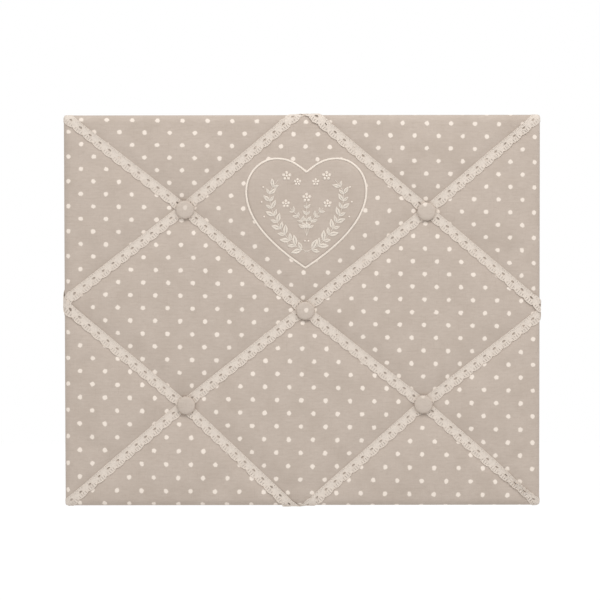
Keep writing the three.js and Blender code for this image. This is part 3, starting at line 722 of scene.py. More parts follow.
def pad_height(x, z, padding):
    """Height of the linen over the backing board before the wadding pushes it out."""
    height = np.full(np.shape(x), BACKING_FRONT - CROWN)
    groove = np.zeros(np.shape(x))
    for _, _, points in ribbon_runs():
        groove = np.maximum(groove, bell(distance_to_way(x, z, points), padding.channel_spread))
    height -= padding.channel_depth * groove
    for centre_x, centre_z in BUTTON_CENTRES.values():
        away = np.hypot(x - centre_x, z - centre_z)
        height -= (padding.tuft_depth - padding.channel_depth) * bell(away, padding.tuft_spread)
    lean_x = np.clip(1 - (HALF_WIDTH - np.abs(x)) / padding.edge_round, 0, 1)
    lean_z = np.clip(1 - (HALF_HEIGHT - np.abs(z)) / padding.edge_round, 0, 1)
    rise = np.sqrt(1 - lean_x ** 2) * np.sqrt(1 - lean_z ** 2)
    return padding.rim_height + (height - padding.rim_height) * rise


def round_corners(x, z, radius):
    """Draws the square corners of the plan in to quarter circles."""
    past_x = np.maximum(0, np.abs(x) - (HALF_WIDTH - radius))
    past_z = np.maximum(0, np.abs(z) - (HALF_HEIGHT - radius))
    reach = np.maximum(np.hypot(past_x, past_z), TINY)
    pull = np.maximum(past_x, past_z) / reach
    both = (past_x > 0) & (past_z > 0)
    new_x = np.where(both, np.sign(x) * (HALF_WIDTH - radius + past_x * pull), x)
    new_z = np.where(both, np.sign(z) * (HALF_HEIGHT - radius + past_z * pull), z)
    return new_x, new_z


SIDE_SHARES = (0.35, 0.7, 1.0)
REAR_ROLL = 1.5 * MM
REAR_ROLL_STEPS = 3
# Behind the board the turned-in hem rises to the back panel, with room for the lace ends between them
HEM_START = 7 * MM
HEM_FULL = 13 * MM
HEM_MIDDLE = 24 * MM
HEM_ROOM = 1.1 * MM
HEM_REAR = PANEL_LOW.y - HEM_ROOM


def edge_profile(padding):
    """Inset and depth of the linen from the upright side round to its cut edge behind."""
    rim = BACKING_FRONT - padding.rim_height
    profile = [(0, rim + (COVER_REAR - REAR_ROLL - rim) * share) for share in SIDE_SHARES]
    for turn in np.linspace(0, math.pi / 2, REAR_ROLL_STEPS + 1)[1:]:
        profile.append((REAR_ROLL * (1 - math.cos(turn)), COVER_REAR - REAR_ROLL * (1 - math.sin(turn))))
    profile.append((HEM_START, COVER_REAR))
    for inset in (HEM_FULL, HEM_MIDDLE, padding.back_return):
        profile.append((inset, HEM_REAR))
    return profile


def grid_cells(wide, tall):
    """Columns and rows of the corners round each cell of a grid."""
    for j in range(tall - 1):
        for i in range(wide - 1):
            yield [(i, j), (i + 1, j), (i + 1, j + 1), (i, j + 1)]


def grid_faces(wide, tall):
    return [[j * wide + i for i, j in cell] for cell in grid_cells(wide, tall)]


def grid_border(wide, tall):
    """Column, row and outward side of each border corner of a grid, once round."""
    border = [(i, 0, (0, -1)) for i in range(wide - 1)]
    border += [(wide - 1, j, (1, 0)) for j in range(tall - 1)]
    border += [(i, tall - 1, (0, 1)) for i in range(wide - 1, 0, -1)]
    border += [(0, j, (-1, 0)) for j in range(tall - 1, 0, -1)]
    return border


def stretched_linen(padding):
    """The linen as one mesh: its front as a grid, then rings round the edge to the turned-in back."""
    columns, flat_columns = grid_lines(HALF_WIDTH, padding)
    rows, flat_rows = grid_lines(HALF_HEIGHT, padding)
    wide, tall = len(columns), len(rows)
    grid_x, grid_z = np.meshgrid(columns, rows)
    plan_x, plan_z = round_corners(grid_x, grid_z, padding.corner_round)
    front = BACKING_FRONT - pad_height(grid_x, grid_z, padding)
    corners = np.stack([plan_x, front, plan_z], axis=-1).reshape(-1, 3).tolist()
    faces = grid_faces(wide, tall)
    uvs = [(flat_columns[i], flat_rows[j]) for cell in grid_cells(wide, tall) for i, j in cell]
    border = grid_border(wide, tall)
    rings = [[j * wide + i for i, j, _ in border]]
    shrinks, passed = [(1.0, 1.0)], [0.0]
    last = (0.0, BACKING_FRONT - padding.rim_height)
    for inset, depth in edge_profile(padding):
        passed.append(passed[-1] + math.hypot(inset - last[0], depth - last[1]))
        shrinks.append((1 - inset / HALF_WIDTH, 1 - inset / HALF_HEIGHT))
        last = (inset, depth)
        rings.append(list(range(len(corners), len(corners) + len(border))))
        for start in rings[0]:
            x, _, z = corners[start]
            corners.append([x * shrinks[-1][0], depth, z * shrinks[-1][1]])

    def flat_place(k, level, side):
        i, j, _ = border[k]
        if side[0]:
            return side[0] * (flat_columns[-1] + passed[level]), flat_rows[j] * shrinks[level][1]
        return flat_columns[i] * shrinks[level][0], side[1] * (flat_rows[-1] + passed[level])
    for level in range(1, len(rings)):
        for k, (_, _, side) in enumerate(border):
            after = (k + 1) % len(border)
            around = [(after, level - 1), (k, level - 1), (k, level), (after, level)]
            faces.append([rings[b][a] for a, b in around])
            uvs.extend(flat_place(a, b, side) for a, b in around)
    cut = (2 * (flat_columns[-1] + passed[-1]), 2 * (flat_rows[-1] + passed[-1]))
    return corners, faces, uvs, cut, (wide, tall)


TIED_LACE = 3.5 * MM
TIED_BUTTON = 10 * MM
TIED_FADE = 6 * MM
SIM_FRAMES = 20
LINEN_CLOTH = {
    "quality": 5,
    "mass": 0.2,
    "tension_stiffness": 15,
    "compression_stiffness": 15,
    "shear_stiffness": 6,
    "bending_stiffness": 0.4,
    "use_pressure": True,
}


def tied_weights(places, padding):
    """One where the linen is held by lace, buttons or the board's edge, fading to zero between."""
    x, z = places[:, 0], places[:, 2]
    slack = np.full(len(x), np.inf)
    for _, _, points in ribbon_runs():
        slack = np.minimum(slack, distance_to_way(x, z, points) - TIED_LACE)
    for centre_x, centre_z in BUTTON_CENTRES.values():
        slack = np.minimum(slack, np.hypot(x - centre_x, z - centre_z) - TIED_BUTTON)
    slack = np.minimum(slack, HALF_WIDTH - padding.edge_round - np.abs(x))
    slack = np.minimum(slack, HALF_HEIGHT - padding.edge_round - np.abs(z))
    return 1 - np.clip(slack / TIED_FADE, 0, 1)


def push_out(piece, padding):
    """Lets the wadding push the linen out between the lines that are tied down."""
    rest = np.array([vertex.co for vertex in piece.data.vertices])
    tied = piece.vertex_groups.new(name="tied")
    for index, weight in enumerate(tied_weights(rest, padding)):
        if weight > 0:
            tied.add([index], float(weight), "REPLACE")
    modifier = piece.modifiers.new("cloth", "CLOTH")
    cloth = modifier.settings
    for name, value in LINEN_CLOTH.items():
        setattr(cloth, name, value)
    cloth.vertex_group_mass = tied.name
    cloth.shrink_min = -padding.cloth_spare
    cloth.uniform_pressure_force = padding.pressure
    cloth.effector_weights.gravity = 0
    modifier.point_cache.frame_start = 1
    modifier.point_cache.frame_end = SIM_FRAMES
    for number in range(1, SIM_FRAMES + 1):
        bpy.context.scene.frame_set(number)
    shown = piece.evaluated_get(bpy.context.evaluated_depsgraph_get())
    moved = np.array([vertex.co for vertex in shown.data.vertices]) - rest
    reach = np.linalg.norm(moved, axis=1, keepdims=True)
    moved *= np.minimum(1, padding.puff_limit / np.maximum(reach, TINY))
    piece.modifiers.remove(modifier)
    piece.vertex_groups.remove(tied)
    piece.data.vertices.foreach_set("co", (rest + moved).astype(np.float32).ravel())
    piece.data.update()
    bpy.context.scene.frame_set(1)


SURFACES = {}


class MEMO_OT_linen_cover(Operator):
    """Stretch the dotted linen over the padding, and turn it in behind"""
    bl_idname = "memo.linen_cover"
    bl_label = "Linen Cover"

    def execute(self, context):
        padding = settings().padding
        corners, faces, uvs, cut, (wide, tall) = stretched_linen(padding)
        cover = piece_from("linen_cover", corners, faces, uvs)
        push_out(cover, padding)
        make_wadding(cover, wide, tall)
        apply_modifier(cover, "SUBSURF", levels=1, render_levels=1)
        SURFACES["linen"] = surface_of(cover)
        apply_modifier(cover, "SOLIDIFY", thickness=padding.cloth_thickness, offset=-1)
        shade_smooth(cover)
        finish_piece(cover, linen_finish("dotted_linen", "pulled"), "dotted_linen", "fabric_cover")
        return {"FINISHED"}


WADDING_GAP = 0.9 * MM
WADDING_LIFT = 0.2 * MM


def make_wadding(cover, wide, tall):
    """The wadding fills the room between the linen and the backing board."""
    count = wide * tall
    top = np.array([vertex.co for vertex in cover.data.vertices])[:count]
    top[:, 0] *= 1 - WADDING_GAP / HALF_WIDTH
    top[:, 2] *= 1 - WADDING_GAP / HALF_HEIGHT
    top[:, 1] += WADDING_GAP
    base = top.copy()
    base[:, 1] = BACKING_FRONT - WADDING_LIFT
    faces = []
    for around in grid_faces(wide, tall):
        faces.append(around)
        faces.append([count + index for index in reversed(around)])
    border = [j * wide + i for i, j, _ in grid_border(wide, tall)]
    for here, after in zip(border, border[1:] + border[:1]):
        faces.append([after, here, count + here, count + after])
    pad = piece_from("wadding_pad", np.vstack([top, base]), faces)
    shade_smooth(pad, SOFT_CREASE)
    finish_piece(pad, felt_finish(), "wadding", "wadding")


# Lace ribbons
LANE_REACH = 8.5 * MM
LANE_COUNT = 9
STATION_STEP = 1.5 * MM
WRAP_TURNS = 36
EDGE_KNEE = 12 * MM
CORNER_KNEE = 17 * MM
PIVOT_DEPTH = -9.5 * MM
EDGE_NEAR = 3 * EDGE_KNEE
# Pivots in the same millimetre share one way round the edge
TRACE_DIGITS = 3
# The last place along or across still needs a cell ahead of it
CELL_AHEAD = 1.001


def trace_round(surface, pivot, outward, tail):
    """Points and facings round the board's edge, from ahead of a pivot inside it to a tail behind."""
    points, facings = [], []
    for turn in np.linspace(0, math.pi, WRAP_TURNS):
        ray = outward * math.sin(turn) + Vector((0, -math.cos(turn), 0))
        spot, normal, _, _ = surface.ray_cast(pivot, ray)
        if spot is None:
            raise RuntimeError("the edge of the linen wasn't found")
        points.append(spot)
        facings.append(normal)
    points.append(points[-1] - outward * tail)
    facings.append(facings[-1])
    points, facings = np.array(points), np.array(facings)
    passed = np.r_[0, np.cumsum(np.linalg.norm(np.diff(points, axis=0), axis=1))]
    return passed, points, facings


def at_distance(trace, distance):
    passed, points, facings = trace
    spot = [np.interp(distance, passed, points[:, axis]) for axis in range(3)]
    facing = [np.interp(distance, passed, facings[:, axis]) for axis in range(3)]
    return np.array(spot), np.array(facing)


class Ribbon:
    """A ribbon's way over the linen: where each place along and across it lies, and which way it faces."""

    def __init__(self, surface, points, tail):
        self.surface = surface
        self.points = [np.array(point) for point in points]
        runs = [b - a for a, b in zip(self.points, self.points[1:])]
        self.headings = [run / np.linalg.norm(run) for run in runs]
        self.stations = np.r_[0, np.cumsum([np.linalg.norm(run) for run in runs])]
        self.total = self.stations[-1]
        self.lanes = np.linspace(-LANE_REACH, LANE_REACH, LANE_COUNT)
        self.tail = tail
        self.traces = {}
        start = self.reach_past(self.points[0], -self.headings[0])
        end = self.reach_past(self.points[-1], self.headings[-1])
        count = math.ceil((self.total + start + end) / STATION_STEP)
        self.along = np.linspace(-start, self.total + end, count)
        grid = [[self.find(u, v) for v in self.lanes] for u in self.along]
        self.places = np.array([[spot for spot, _ in row] for row in grid])
        self.facings = np.array([[facing for _, facing in row] for row in grid])

    @staticmethod
    def edge_axis(point):
        """The outward direction of the edge that the ribbon leaves by, or None at a corner."""
        at_side = abs(abs(point[0]) - HALF_WIDTH) < MM
        at_end = abs(abs(point[1]) - HALF_HEIGHT) < MM
        if at_side and at_end:
            return None
        if at_side:
            return np.array([math.copysign(1, point[0]), 0])
        return np.array([0, math.copysign(1, point[1])])

    def reach_past(self, point, heading):
        """Length of ribbon past the edge, down the side and in behind."""
        axis = self.edge_axis(point)
        slope = 1.0 if axis is None else float(axis @ heading)
        return (COVER_REAR - CROWN + self.tail) / slope

    def plan(self, u, v):
        """The place in plan that lies so far along and across the ribbon."""
        k = int(np.clip(np.searchsorted(self.stations, u, side="right") - 1, 0, len(self.headings) - 1))
        heading = self.headings[k]
        upward = np.array([-heading[1], heading[0]])
        return self.points[k] + heading * (u - self.stations[k]) + upward * v

    def find(self, u, v):
        """Where a place along and across the ribbon lies on the linen, and which way it faces."""
        ends = (
            (self.points[0], -self.headings[0], -u, CORNER_KNEE),
            (self.points[-1], self.headings[-1], u - self.total, self.total - CORNER_KNEE),
        )
        for point, heading, past, knee in ends:
            axis = self.edge_axis(point)
            if axis is None and past > -CORNER_KNEE:
                return at_distance(self.trace(self.plan(knee, v), heading), past + CORNER_KNEE)
            if axis is not None and past > -EDGE_NEAR:
                place = self.plan(u, v)
                half = HALF_WIDTH if axis[0] else HALF_HEIGHT
                over = float(axis @ place) - (half - EDGE_KNEE)
                if over > 0:
                    return at_distance(self.trace(place - axis * over, axis), over)
        spot, facing = front_of(self.surface, *self.plan(u, v))
        return np.array(spot), np.array(facing)

    def trace(self, pivot, outward):
        """The way round the edge from a pivot, with a tail longer than the ribbon's."""
        key = tuple(round(float(part), TRACE_DIGITS) for part in (*pivot, outward[0]))
        if key not in self.traces:
            centre = Vector((pivot[0], PIVOT_DEPTH, pivot[1]))
            way = Vector((outward[0], 0, outward[1]))
            self.traces[key] = trace_round(self.surface, centre, way, 2 * self.tail)
        return self.traces[key]

    def lay(self, u, v, height):
        """Places of the lace's corners, given along, across and above the linen."""
        row = np.clip(np.interp(u, self.along, np.arange(len(self.along))), 0, len(self.along) - CELL_AHEAD)
        lane = np.clip(np.interp(v, self.lanes, np.arange(LANE_COUNT)), 0, LANE_COUNT - CELL_AHEAD)
        i, j = row.astype(int), lane.astype(int)
        a, b = (row - i)[:, None], (lane - j)[:, None]

        def blend(field):
            lower = field[i, j] * (1 - b) + field[i, j + 1] * b
            upper = field[i + 1, j] * (1 - b) + field[i + 1, j + 1] * b
            return lower * (1 - a) + upper * a
        facing = blend(self.facings)
        facing /= np.linalg.norm(facing, axis=1, keepdims=True)
        return blend(self.places) + facing * np.asarray(height)[:, None]


BARS = 5
BAR_PARTS = 3
SEGMENTS = (BAR_PARTS + 1) * BARS - 1
SLIT_SHARE = 0.17


def is_slit(segment):
    return segment % (BAR_PARTS + 1) == BAR_PARTS


class LaceMesh:
    """Corners along, across and above the linen, and the faces between them."""

    def __init__(self):
        self.corners = []
        self.faces = []
        self.known = {}

    def corner(self, key, u, v):
        """The corner with this key, which is made at its first use."""
        if key not in self.known:
            self.known[key] = len(self.corners)
            self.corners.append((u, v, 0.0))
        return self.known[key]

    def thicken(self, thickness):
        """Gives the open sheet a second side and walls round its edge and holes."""
        count = len(self.corners)
        self.corners += [(u, v, height + thickness) for u, v, height in self.corners]
        sheet = list(self.faces)
        used = set()
        for face in sheet:
            used.update(zip(face, face[1:] + face[:1]))
        self.faces = [list(reversed(face)) for face in sheet]
        self.faces += [[index + count for index in face] for face in sheet]
        for a, b in sorted(used):
            if (b, a) not in used:
                self.faces.append([a, b, b + count, a + count])

    def tube(self, path, radius, height, closed=False):
        """A four-sided cord along a path of places along and across."""
        path = np.array(path)
        if closed:
            ahead = np.roll(path, -1, axis=0) - np.roll(path, 1, axis=0)
        else:
            ahead = np.gradient(path, axis=0)
        ahead /= np.linalg.norm(ahead, axis=1, keepdims=True)
        start = len(self.corners)
        for (u, v), (du, dv) in zip(path, ahead):
            for out, up in CORD_SECTION:
                self.corners.append((u - dv * radius * out, v + du * radius * out, height + radius * up))
        count = len(path)
        for k in range(count if closed else count - 1):
            here, after = start + CORD_SIDES * k, start + CORD_SIDES * ((k + 1) % count)
            for turn in range(CORD_SIDES):
                following = (turn + 1) % CORD_SIDES
                self.faces.append([here + turn, after + turn, after + following, here + following])
        if not closed:
            last = start + CORD_SIDES * (count - 1)
            self.faces.append([start + turn for turn in range(CORD_SIDES)])
            self.faces.append([last + turn for turn in reversed(range(CORD_SIDES))])


def lace_columns(lace):
    """Places along one scallop: wide bars with narrow slits between them."""
    bar = lace.pitch / (BARS + (BARS - 1) * SLIT_SHARE)
    widths = [SLIT_SHARE * bar if is_slit(k) else bar / BAR_PARTS for k in range(SEGMENTS)]
    return np.r_[0, np.cumsum(widths)]


SCALLOP_ROUND = 0.7


def scallop_edge(lace, share):
    """Distance from the lace's middle to its scalloped edge."""
    bulge = math.sin(math.pi * share) ** SCALLOP_ROUND
    return lace.scallop_root + lace.scallop_depth * bulge


# Rows of corners across the lace, after those of its straight edge; below two rows lie slits
EYELET_TOP, EYELET_FOOT, FAN_ROW, RIM_ROW, EDGE_ROW = range(3, 8)
SLIT_ROWS = (1, FAN_ROW)
HEADER_ROWS = (0, 0.9 * MM, 1.7 * MM)
EYELET_BAND = 2.1 * MM
FAN_STRIP = 0.7 * MM
RIM_WIDTH = 1.1 * MM


def lace_pattern(lace, start, repeats):
    """The lace as a flat mesh: header, eyelets, fans and scallops."""
    mesh = LaceMesh()
    columns = lace_columns(lace)
    high, low = lace.eyelet_height + EYELET_BAND, lace.eyelet_height - EYELET_BAND
    fan = low - FAN_STRIP
    levels = [lace.straight_side - drop for drop in HEADER_ROWS] + [high]
    header = [(row, level, level) for row, level in enumerate(levels)]

    def at(row, repeat, column, v):
        u = start + repeat * lace.pitch + columns[column]
        return mesh.corner((row, repeat * SEGMENTS + column), u, v)

    def fill(rows, repeat, k):
        """Faces of one segment between rows, each with its height at both sides. Slits stay open."""
        for (upper, *upper_v), (lower, *lower_v) in zip(rows, rows[1:]):
            if upper in SLIT_ROWS and is_slit(k):
                continue
            mesh.faces.append([
                at(lower, repeat, k, lower_v[0]), at(lower, repeat, k + 1, lower_v[1]),
                at(upper, repeat, k + 1, upper_v[1]), at(upper, repeat, k, upper_v[0])])
    for repeat in range(repeats):
        for pair in zip(header, header[1:]):
            for k in range(SEGMENTS):
                fill(pair, repeat, k)
        eyelet_patch(mesh, lace, repeat, start + repeat * lace.pitch, columns, at, high, low)
        for k in range(SEGMENTS):
            edges = [-scallop_edge(lace, columns[side] / lace.pitch) for side in (k, k + 1)]
            rim = [edge + RIM_WIDTH for edge in edges]
            lower_rows = [(EYELET_FOOT, low, low), (FAN_ROW, fan, fan), (RIM_ROW, *rim), (EDGE_ROW, *edges)]
            fill(lower_rows, repeat, k)
    mesh.thicken(lace.thickness)
    lace_cords(mesh, lace, start, repeats, columns, low)
    return mesh


SIDE_STEPS = 2
EYELET_RING = 0.45


def eyelet_patch(mesh, lace, repeat, origin, columns, at, high, low):
    """Faces between an oval eyelet and the box that it stands in."""
    middle = origin + lace.pitch / 2
    outer = []
    for k in range(SEGMENTS + 1):
        outer.append((at(EYELET_FOOT, repeat, k, low), origin + columns[k], low))
    sides = []
    for step in range(1, SIDE_STEPS + 1):
        sides.append(low + (high - low) * step / (SIDE_STEPS + 1))
    for step, v in enumerate(sides):
        u = origin + lace.pitch
        outer.append((mesh.corner(("side", repeat + 1, step), u, v), u, v))
    for k in range(SEGMENTS, -1, -1):
        outer.append((at(EYELET_TOP, repeat, k, high), origin + columns[k], high))
    for step in range(SIDE_STEPS - 1, -1, -1):
        outer.append((mesh.corner(("side", repeat, step), origin, sides[step]), origin, sides[step]))
    rings = [[index for index, _, _ in outer]]
    for name, pull in (("ring", EYELET_RING), ("hole", 1.0)):
        ring = []
        for k, (_, u, v) in enumerate(outer):
            angle = math.atan2((v - lace.eyelet_height) / (high - low), (u - middle) / lace.pitch)
            hole_u = middle + math.cos(angle) * lace.eyelet_length / 2
            hole_v = lace.eyelet_height + math.sin(angle) * lace.eyelet_width / 2
            ring.append(mesh.corner((name, repeat, k), u + (hole_u - u) * pull, v + (hole_v - v) * pull))
        rings.append(ring)
    for outside, inside in zip(rings, rings[1:]):
        for k in range(len(outer)):
            after = (k + 1) % len(outer)
            mesh.faces.append([outside[k], outside[after], inside[after], inside[k]])


OVAL_STEPS = 14
OVAL_OUTSET = 0.25 * MM
OVAL_CORD = 0.9
PICOT = 0.35 * MM
CORD_INSET = 0.3 * MM
HEADER_DROP = 2.1 * MM
FAN_LEAN = 0.72
FAN_POINTS = 4
FAN_FOOT = 0.4 * MM
FAN_TIP = 0.6 * MM


def lace_cords(mesh, lace, start, repeats, columns, low):
    """Raised cords along the edges, round the eyelets and down the fans."""
    height = lace.thickness
    end = start + repeats * lace.pitch
    stations = np.linspace(start, end, repeats * BARS * BAR_PARTS + 1)
    for drop in (CORD_INSET, HEADER_DROP):
        v = lace.straight_side - drop
        mesh.tube([(u, v) for u in stations], lace.cord, height)
    scallops = []
    for repeat in range(repeats):
        for k in range(SEGMENTS):
            share = columns[k] / lace.pitch
            proud = PICOT if is_slit(k) else 0.0
            place = start + repeat * lace.pitch + columns[k]
            scallops.append((place, CORD_INSET - proud - scallop_edge(lace, share)))
    mesh.tube(scallops, lace.cord, height)
    for repeat in range(repeats):
        origin = start + repeat * lace.pitch
        turns = np.linspace(0, 2 * math.pi, OVAL_STEPS, endpoint=False)
        long, short = lace.eyelet_length / 2 + OVAL_OUTSET, lace.eyelet_width / 2 + OVAL_OUTSET
        middle = origin + lace.pitch / 2
        oval = [(middle + long * math.cos(a), lace.eyelet_height + short * math.sin(a)) for a in turns]
        mesh.tube(oval, lace.cord * OVAL_CORD, height, closed=True)
        for k in range(0, SEGMENTS, BAR_PARTS + 1):
            u = origin + (columns[k] + columns[k + BAR_PARTS]) / 2
            foot = (middle + (u - middle) * FAN_LEAN, low + FAN_FOOT)
            tip = (u, FAN_TIP - scallop_edge(lace, (u - origin) / lace.pitch))
            mesh.tube(np.linspace(foot, tip, FAN_POINTS), lace.cord, height)


# The share by which a long ribbon is drawn in before its first and its last corner, which pleats it
GATHER = {"lace_long_falling": (0.08, 0.3), "lace_long_rising": (0.08, 0.1)}
GATHER_INSET = 30 * MM
GATHER_SPREAD = 28 * MM
RIPPLE = 5 * MM
RIPPLE_STEP = 4.5 * MM
RIPPLE_SLANT = 0.8
END_RISE_REACH = 28 * MM
TAIL_RISE_REACH = 24 * MM
PRESS_REACH = 22 * MM
PRESS = 0.45
CROSSING_SPREAD = 15 * MM


def ribbon_shape(name, over, ribbon, lace, u, v):
    """Draws the lace in before corners, lifts it over ribbons that it crosses and presses it at corners."""
    first, last = GATHER.get(name, (0.0, 0.0))
    drawn = first * bell(u - GATHER_INSET, GATHER_SPREAD)
    drawn = drawn + last * bell(ribbon.total - u - GATHER_INSET, GATHER_SPREAD)
    phase = 2 * math.pi * (u + RIPPLE_SLANT * v) / RIPPLE_STEP
    ripple = RIPPLE * drawn * (1 + np.cos(phase)) / 2
    lift = lace.clearance + ripple
    if over:
        raised = np.zeros(len(u))
        for station in ribbon.stations[1:-1]:
            raised = np.maximum(raised, bell(u - station, CROSSING_SPREAD))
        if name not in GATHER:
            for inside in (u, ribbon.total - u):
                spread = np.where(inside > 0, END_RISE_REACH, TAIL_RISE_REACH)
                raised = np.maximum(raised, bell(inside, spread))
        lift = lift + lace.crossing_lift * raised
    pressed = np.ones(len(u))
    if name in GATHER:
        pressed -= PRESS * np.clip(1 - np.minimum(u, ribbon.total - u) / PRESS_REACH, 0, 1)
    return v * (1 - drawn), lift, pressed


class MEMO_OT_lace(Operator):
    """Lay the lace ribbons across the linen and wrap their ends round the edge"""
    bl_idname = "memo.lace"
    bl_label = "Lace Ribbons"

    def execute(self, context):
        lace = settings().lace
        material = lace_finish()
        for name, over, points in ribbon_runs():
            ribbon = Ribbon(SURFACES["linen"], points, lace.tail)
            whole = ribbon.along[-1] - ribbon.along[0]
            repeats = int(whole / lace.pitch)
            start = ribbon.along[0] + (whole - repeats * lace.pitch) / 2
            mesh = lace_pattern(lace, start, repeats)
            u, v, height = np.array(mesh.corners).T
            across, lift, pressed = ribbon_shape(name, over, ribbon, lace, u, v)
            places = ribbon.lay(u, across, (height + lift) * pressed)
            uvs = [(u[index], v[index]) for face in mesh.faces for index in face]
            piece = piece_from(f"{name}_ribbon", places, mesh.faces, uvs)
            shade_smooth(piece, SOFT_CREASE)
            finish_piece(piece, material, "lace", name)
        return {"FINISHED"}


# Heart patch and its embroidery
HEART_LOW, HEART_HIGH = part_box("heart_patch")
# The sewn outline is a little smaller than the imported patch, and its tip leans to the left
HEART_SEAM = 0.8 * MM
HEART_LEAN = -1.6 * MM
HEART_X = (HEART_LOW.x + HEART_HIGH.x) / 2
HEART_TOP = HEART_HIGH.z - HEART_SEAM
HEART_TIP = HEART_LOW.z
HEART_HALF = (HEART_HIGH.x - HEART_LOW.x) / 2 - HEART_SEAM
HEART_NOTCH = 15.6 * MM
HEART_SHOULDER = 37.5 * MM
HEART_LOBE = 34.8 * MM
QUARTER_ARC = 0.5523
HEART_RINGS = 16
HEART_STEPS = 160
# Shares that place the handles of the outline's curves at the tip, flank, crest and notch
TIP_REACH = 0.535
TIP_LIFT = 0.277
FLANK_PULL = 0.38
CREST_REACH = 0.6
NOTCH_REACH = 0.35
NOTCH_FALL = 1 / 3
FLANK_POINTS = 60
LOBE_POINTS = 40
CREST_POINTS = 30


def bezier(a, b, c, d, count):
    t = np.linspace(0, 1, count, endpoint=False)[:, None]
    a, b, c, d = map(np.array, (a, b, c, d))
    return (1 - t) ** 3 * a + 3 * (1 - t) ** 2 * t * b + 3 * (1 - t) * t ** 2 * c + t ** 3 * d


def heart_outline():
    """The heart's outline from its tip up the right side, over both lobes and down again."""
    shoulder = HEART_TOP - HEART_SHOULDER
    flank = shoulder - HEART_TIP
    round_x = QUARTER_ARC * (HEART_HALF - HEART_LOBE)
    round_z = QUARTER_ARC * HEART_SHOULDER
    notch = HEART_TOP - HEART_NOTCH
    right = np.vstack([
        bezier((0, HEART_TIP), (TIP_REACH * HEART_HALF, HEART_TIP + TIP_LIFT * flank),
               (HEART_HALF, shoulder - FLANK_PULL * flank), (HEART_HALF, shoulder), FLANK_POINTS),
        bezier((HEART_HALF, shoulder), (HEART_HALF, shoulder + round_z),
               (HEART_LOBE + round_x, HEART_TOP), (HEART_LOBE, HEART_TOP), LOBE_POINTS),
        bezier((HEART_LOBE, HEART_TOP), (CREST_REACH * HEART_LOBE, HEART_TOP),
               (NOTCH_REACH * HEART_LOBE, HEART_TOP - NOTCH_FALL * HEART_NOTCH), (0, notch), CREST_POINTS)])
    left = np.vstack([[0, notch], right[:0:-1]]) * (-1, 1)
    outline = np.vstack([right, left])
    outline[:, 0] += HEART_X + HEART_LEAN * (HEART_TOP - outline[:, 1]) / (HEART_TOP - HEART_TIP)
    return outline


def even_steps(path, count, closed=True):
    """The same path with evenly spaced points."""
    whole = np.vstack([path, path[:1]]) if closed else np.array(path)
    passed = np.r_[0, np.cumsum(np.linalg.norm(np.diff(whole, axis=0), axis=1))]
    stations = np.linspace(0, passed[-1], count, endpoint=not closed)
    return np.stack([np.interp(stations, passed, whole[:, axis]) for axis in range(2)], axis=-1), passed[-1]


def outline_area(outline):
    """Area inside a closed outline."""
    ahead = np.roll(outline, -1, axis=0)
    return abs(np.sum(outline[:, 0] * ahead[:, 1] - outline[:, 1] * ahead[:, 0])) / 2


# A stitch is a slightly flat spindle, widest between these shares of its length
STITCH_SHARES = (0.18, 0.82)
STITCH_FLATNESS = 0.85
STITCH_CLEARANCE = 0.05 * MM
KNOT_RINGS = 4
KNOT_SIDES = 8
KNOT_LIFT = 0.35
KNOT_FLATNESS = 0.7


class Stitches:
    """Spindle-shaped thread stitches, gathered into one mesh."""

    def __init__(self, surface):
        self.surface = surface
        self.corners = []
        self.faces = []

    def stitch(self, start, end, radius, arch):
        """One stitch between two places in plan, arched off the cloth."""
        first = lay_on(self.surface, *start, STITCH_CLEARANCE)
        last = lay_on(self.surface, *end, STITCH_CLEARANCE)
        along = (last - first).normalized()
        up = Vector((0, -1, 0))
        side = along.cross(up).normalized()
        base = len(self.corners)
        near, far = base + 1, base + 1 + CORD_SIDES
        self.corners.append(first)
        for share in STITCH_SHARES:
            centre = first.lerp(last, share) + up * arch
            for out, rise in CORD_SECTION:
                self.corners.append(centre + side * (radius * out) + up * (radius * STITCH_FLATNESS * rise))
        self.corners.append(last)
        for turn in range(CORD_SIDES):
            after = (turn + 1) % CORD_SIDES
            self.faces.append([base, near + after, near + turn])
            self.faces.append([near + turn, near + after, far + after, far + turn])
            self.faces.append([far + CORD_SIDES, far + turn, far + after])

    def knot(self, x, z, radius):
        """A small round knot."""
        middle = lay_on(self.surface, x, z, radius * KNOT_LIFT)
        height = radius * KNOT_FLATNESS
        base = len(self.corners)
        for ring in range(1, KNOT_RINGS):
            polar = math.pi * ring / KNOT_RINGS
            out = radius * math.sin(polar)
            for k in range(KNOT_SIDES):
                turn = 2 * math.pi * k / KNOT_SIDES
                place = (out * math.cos(turn), -height * math.cos(polar), out * math.sin(turn))
                self.corners.append(middle + Vector(place))
        top, bottom = len(self.corners), len(self.corners) + 1
        self.corners += [middle + Vector((0, -height, 0)), middle + Vector((0, height, 0))]
        last = base + (KNOT_RINGS - 2) * KNOT_SIDES
        for k in range(KNOT_SIDES):
            after = (k + 1) % KNOT_SIDES
            self.faces.append([top, base + k, base + after])
            for here in range(base, last, KNOT_SIDES):
                below = here + KNOT_SIDES
                self.faces.append([here + k, below + k, below + after, here + after])
            self.faces.append([bottom, last + after, last + k])

    def piece(self, name, material, slot):
        made = piece_from(name, self.corners, self.faces)
        turn_outwards(made)
        shade_smooth(made)
        return finish_piece(made, material, slot)


SATIN_STEPS = 720
SATIN_SLANT = 0.35
SATIN_ARCH = 0.32 * MM


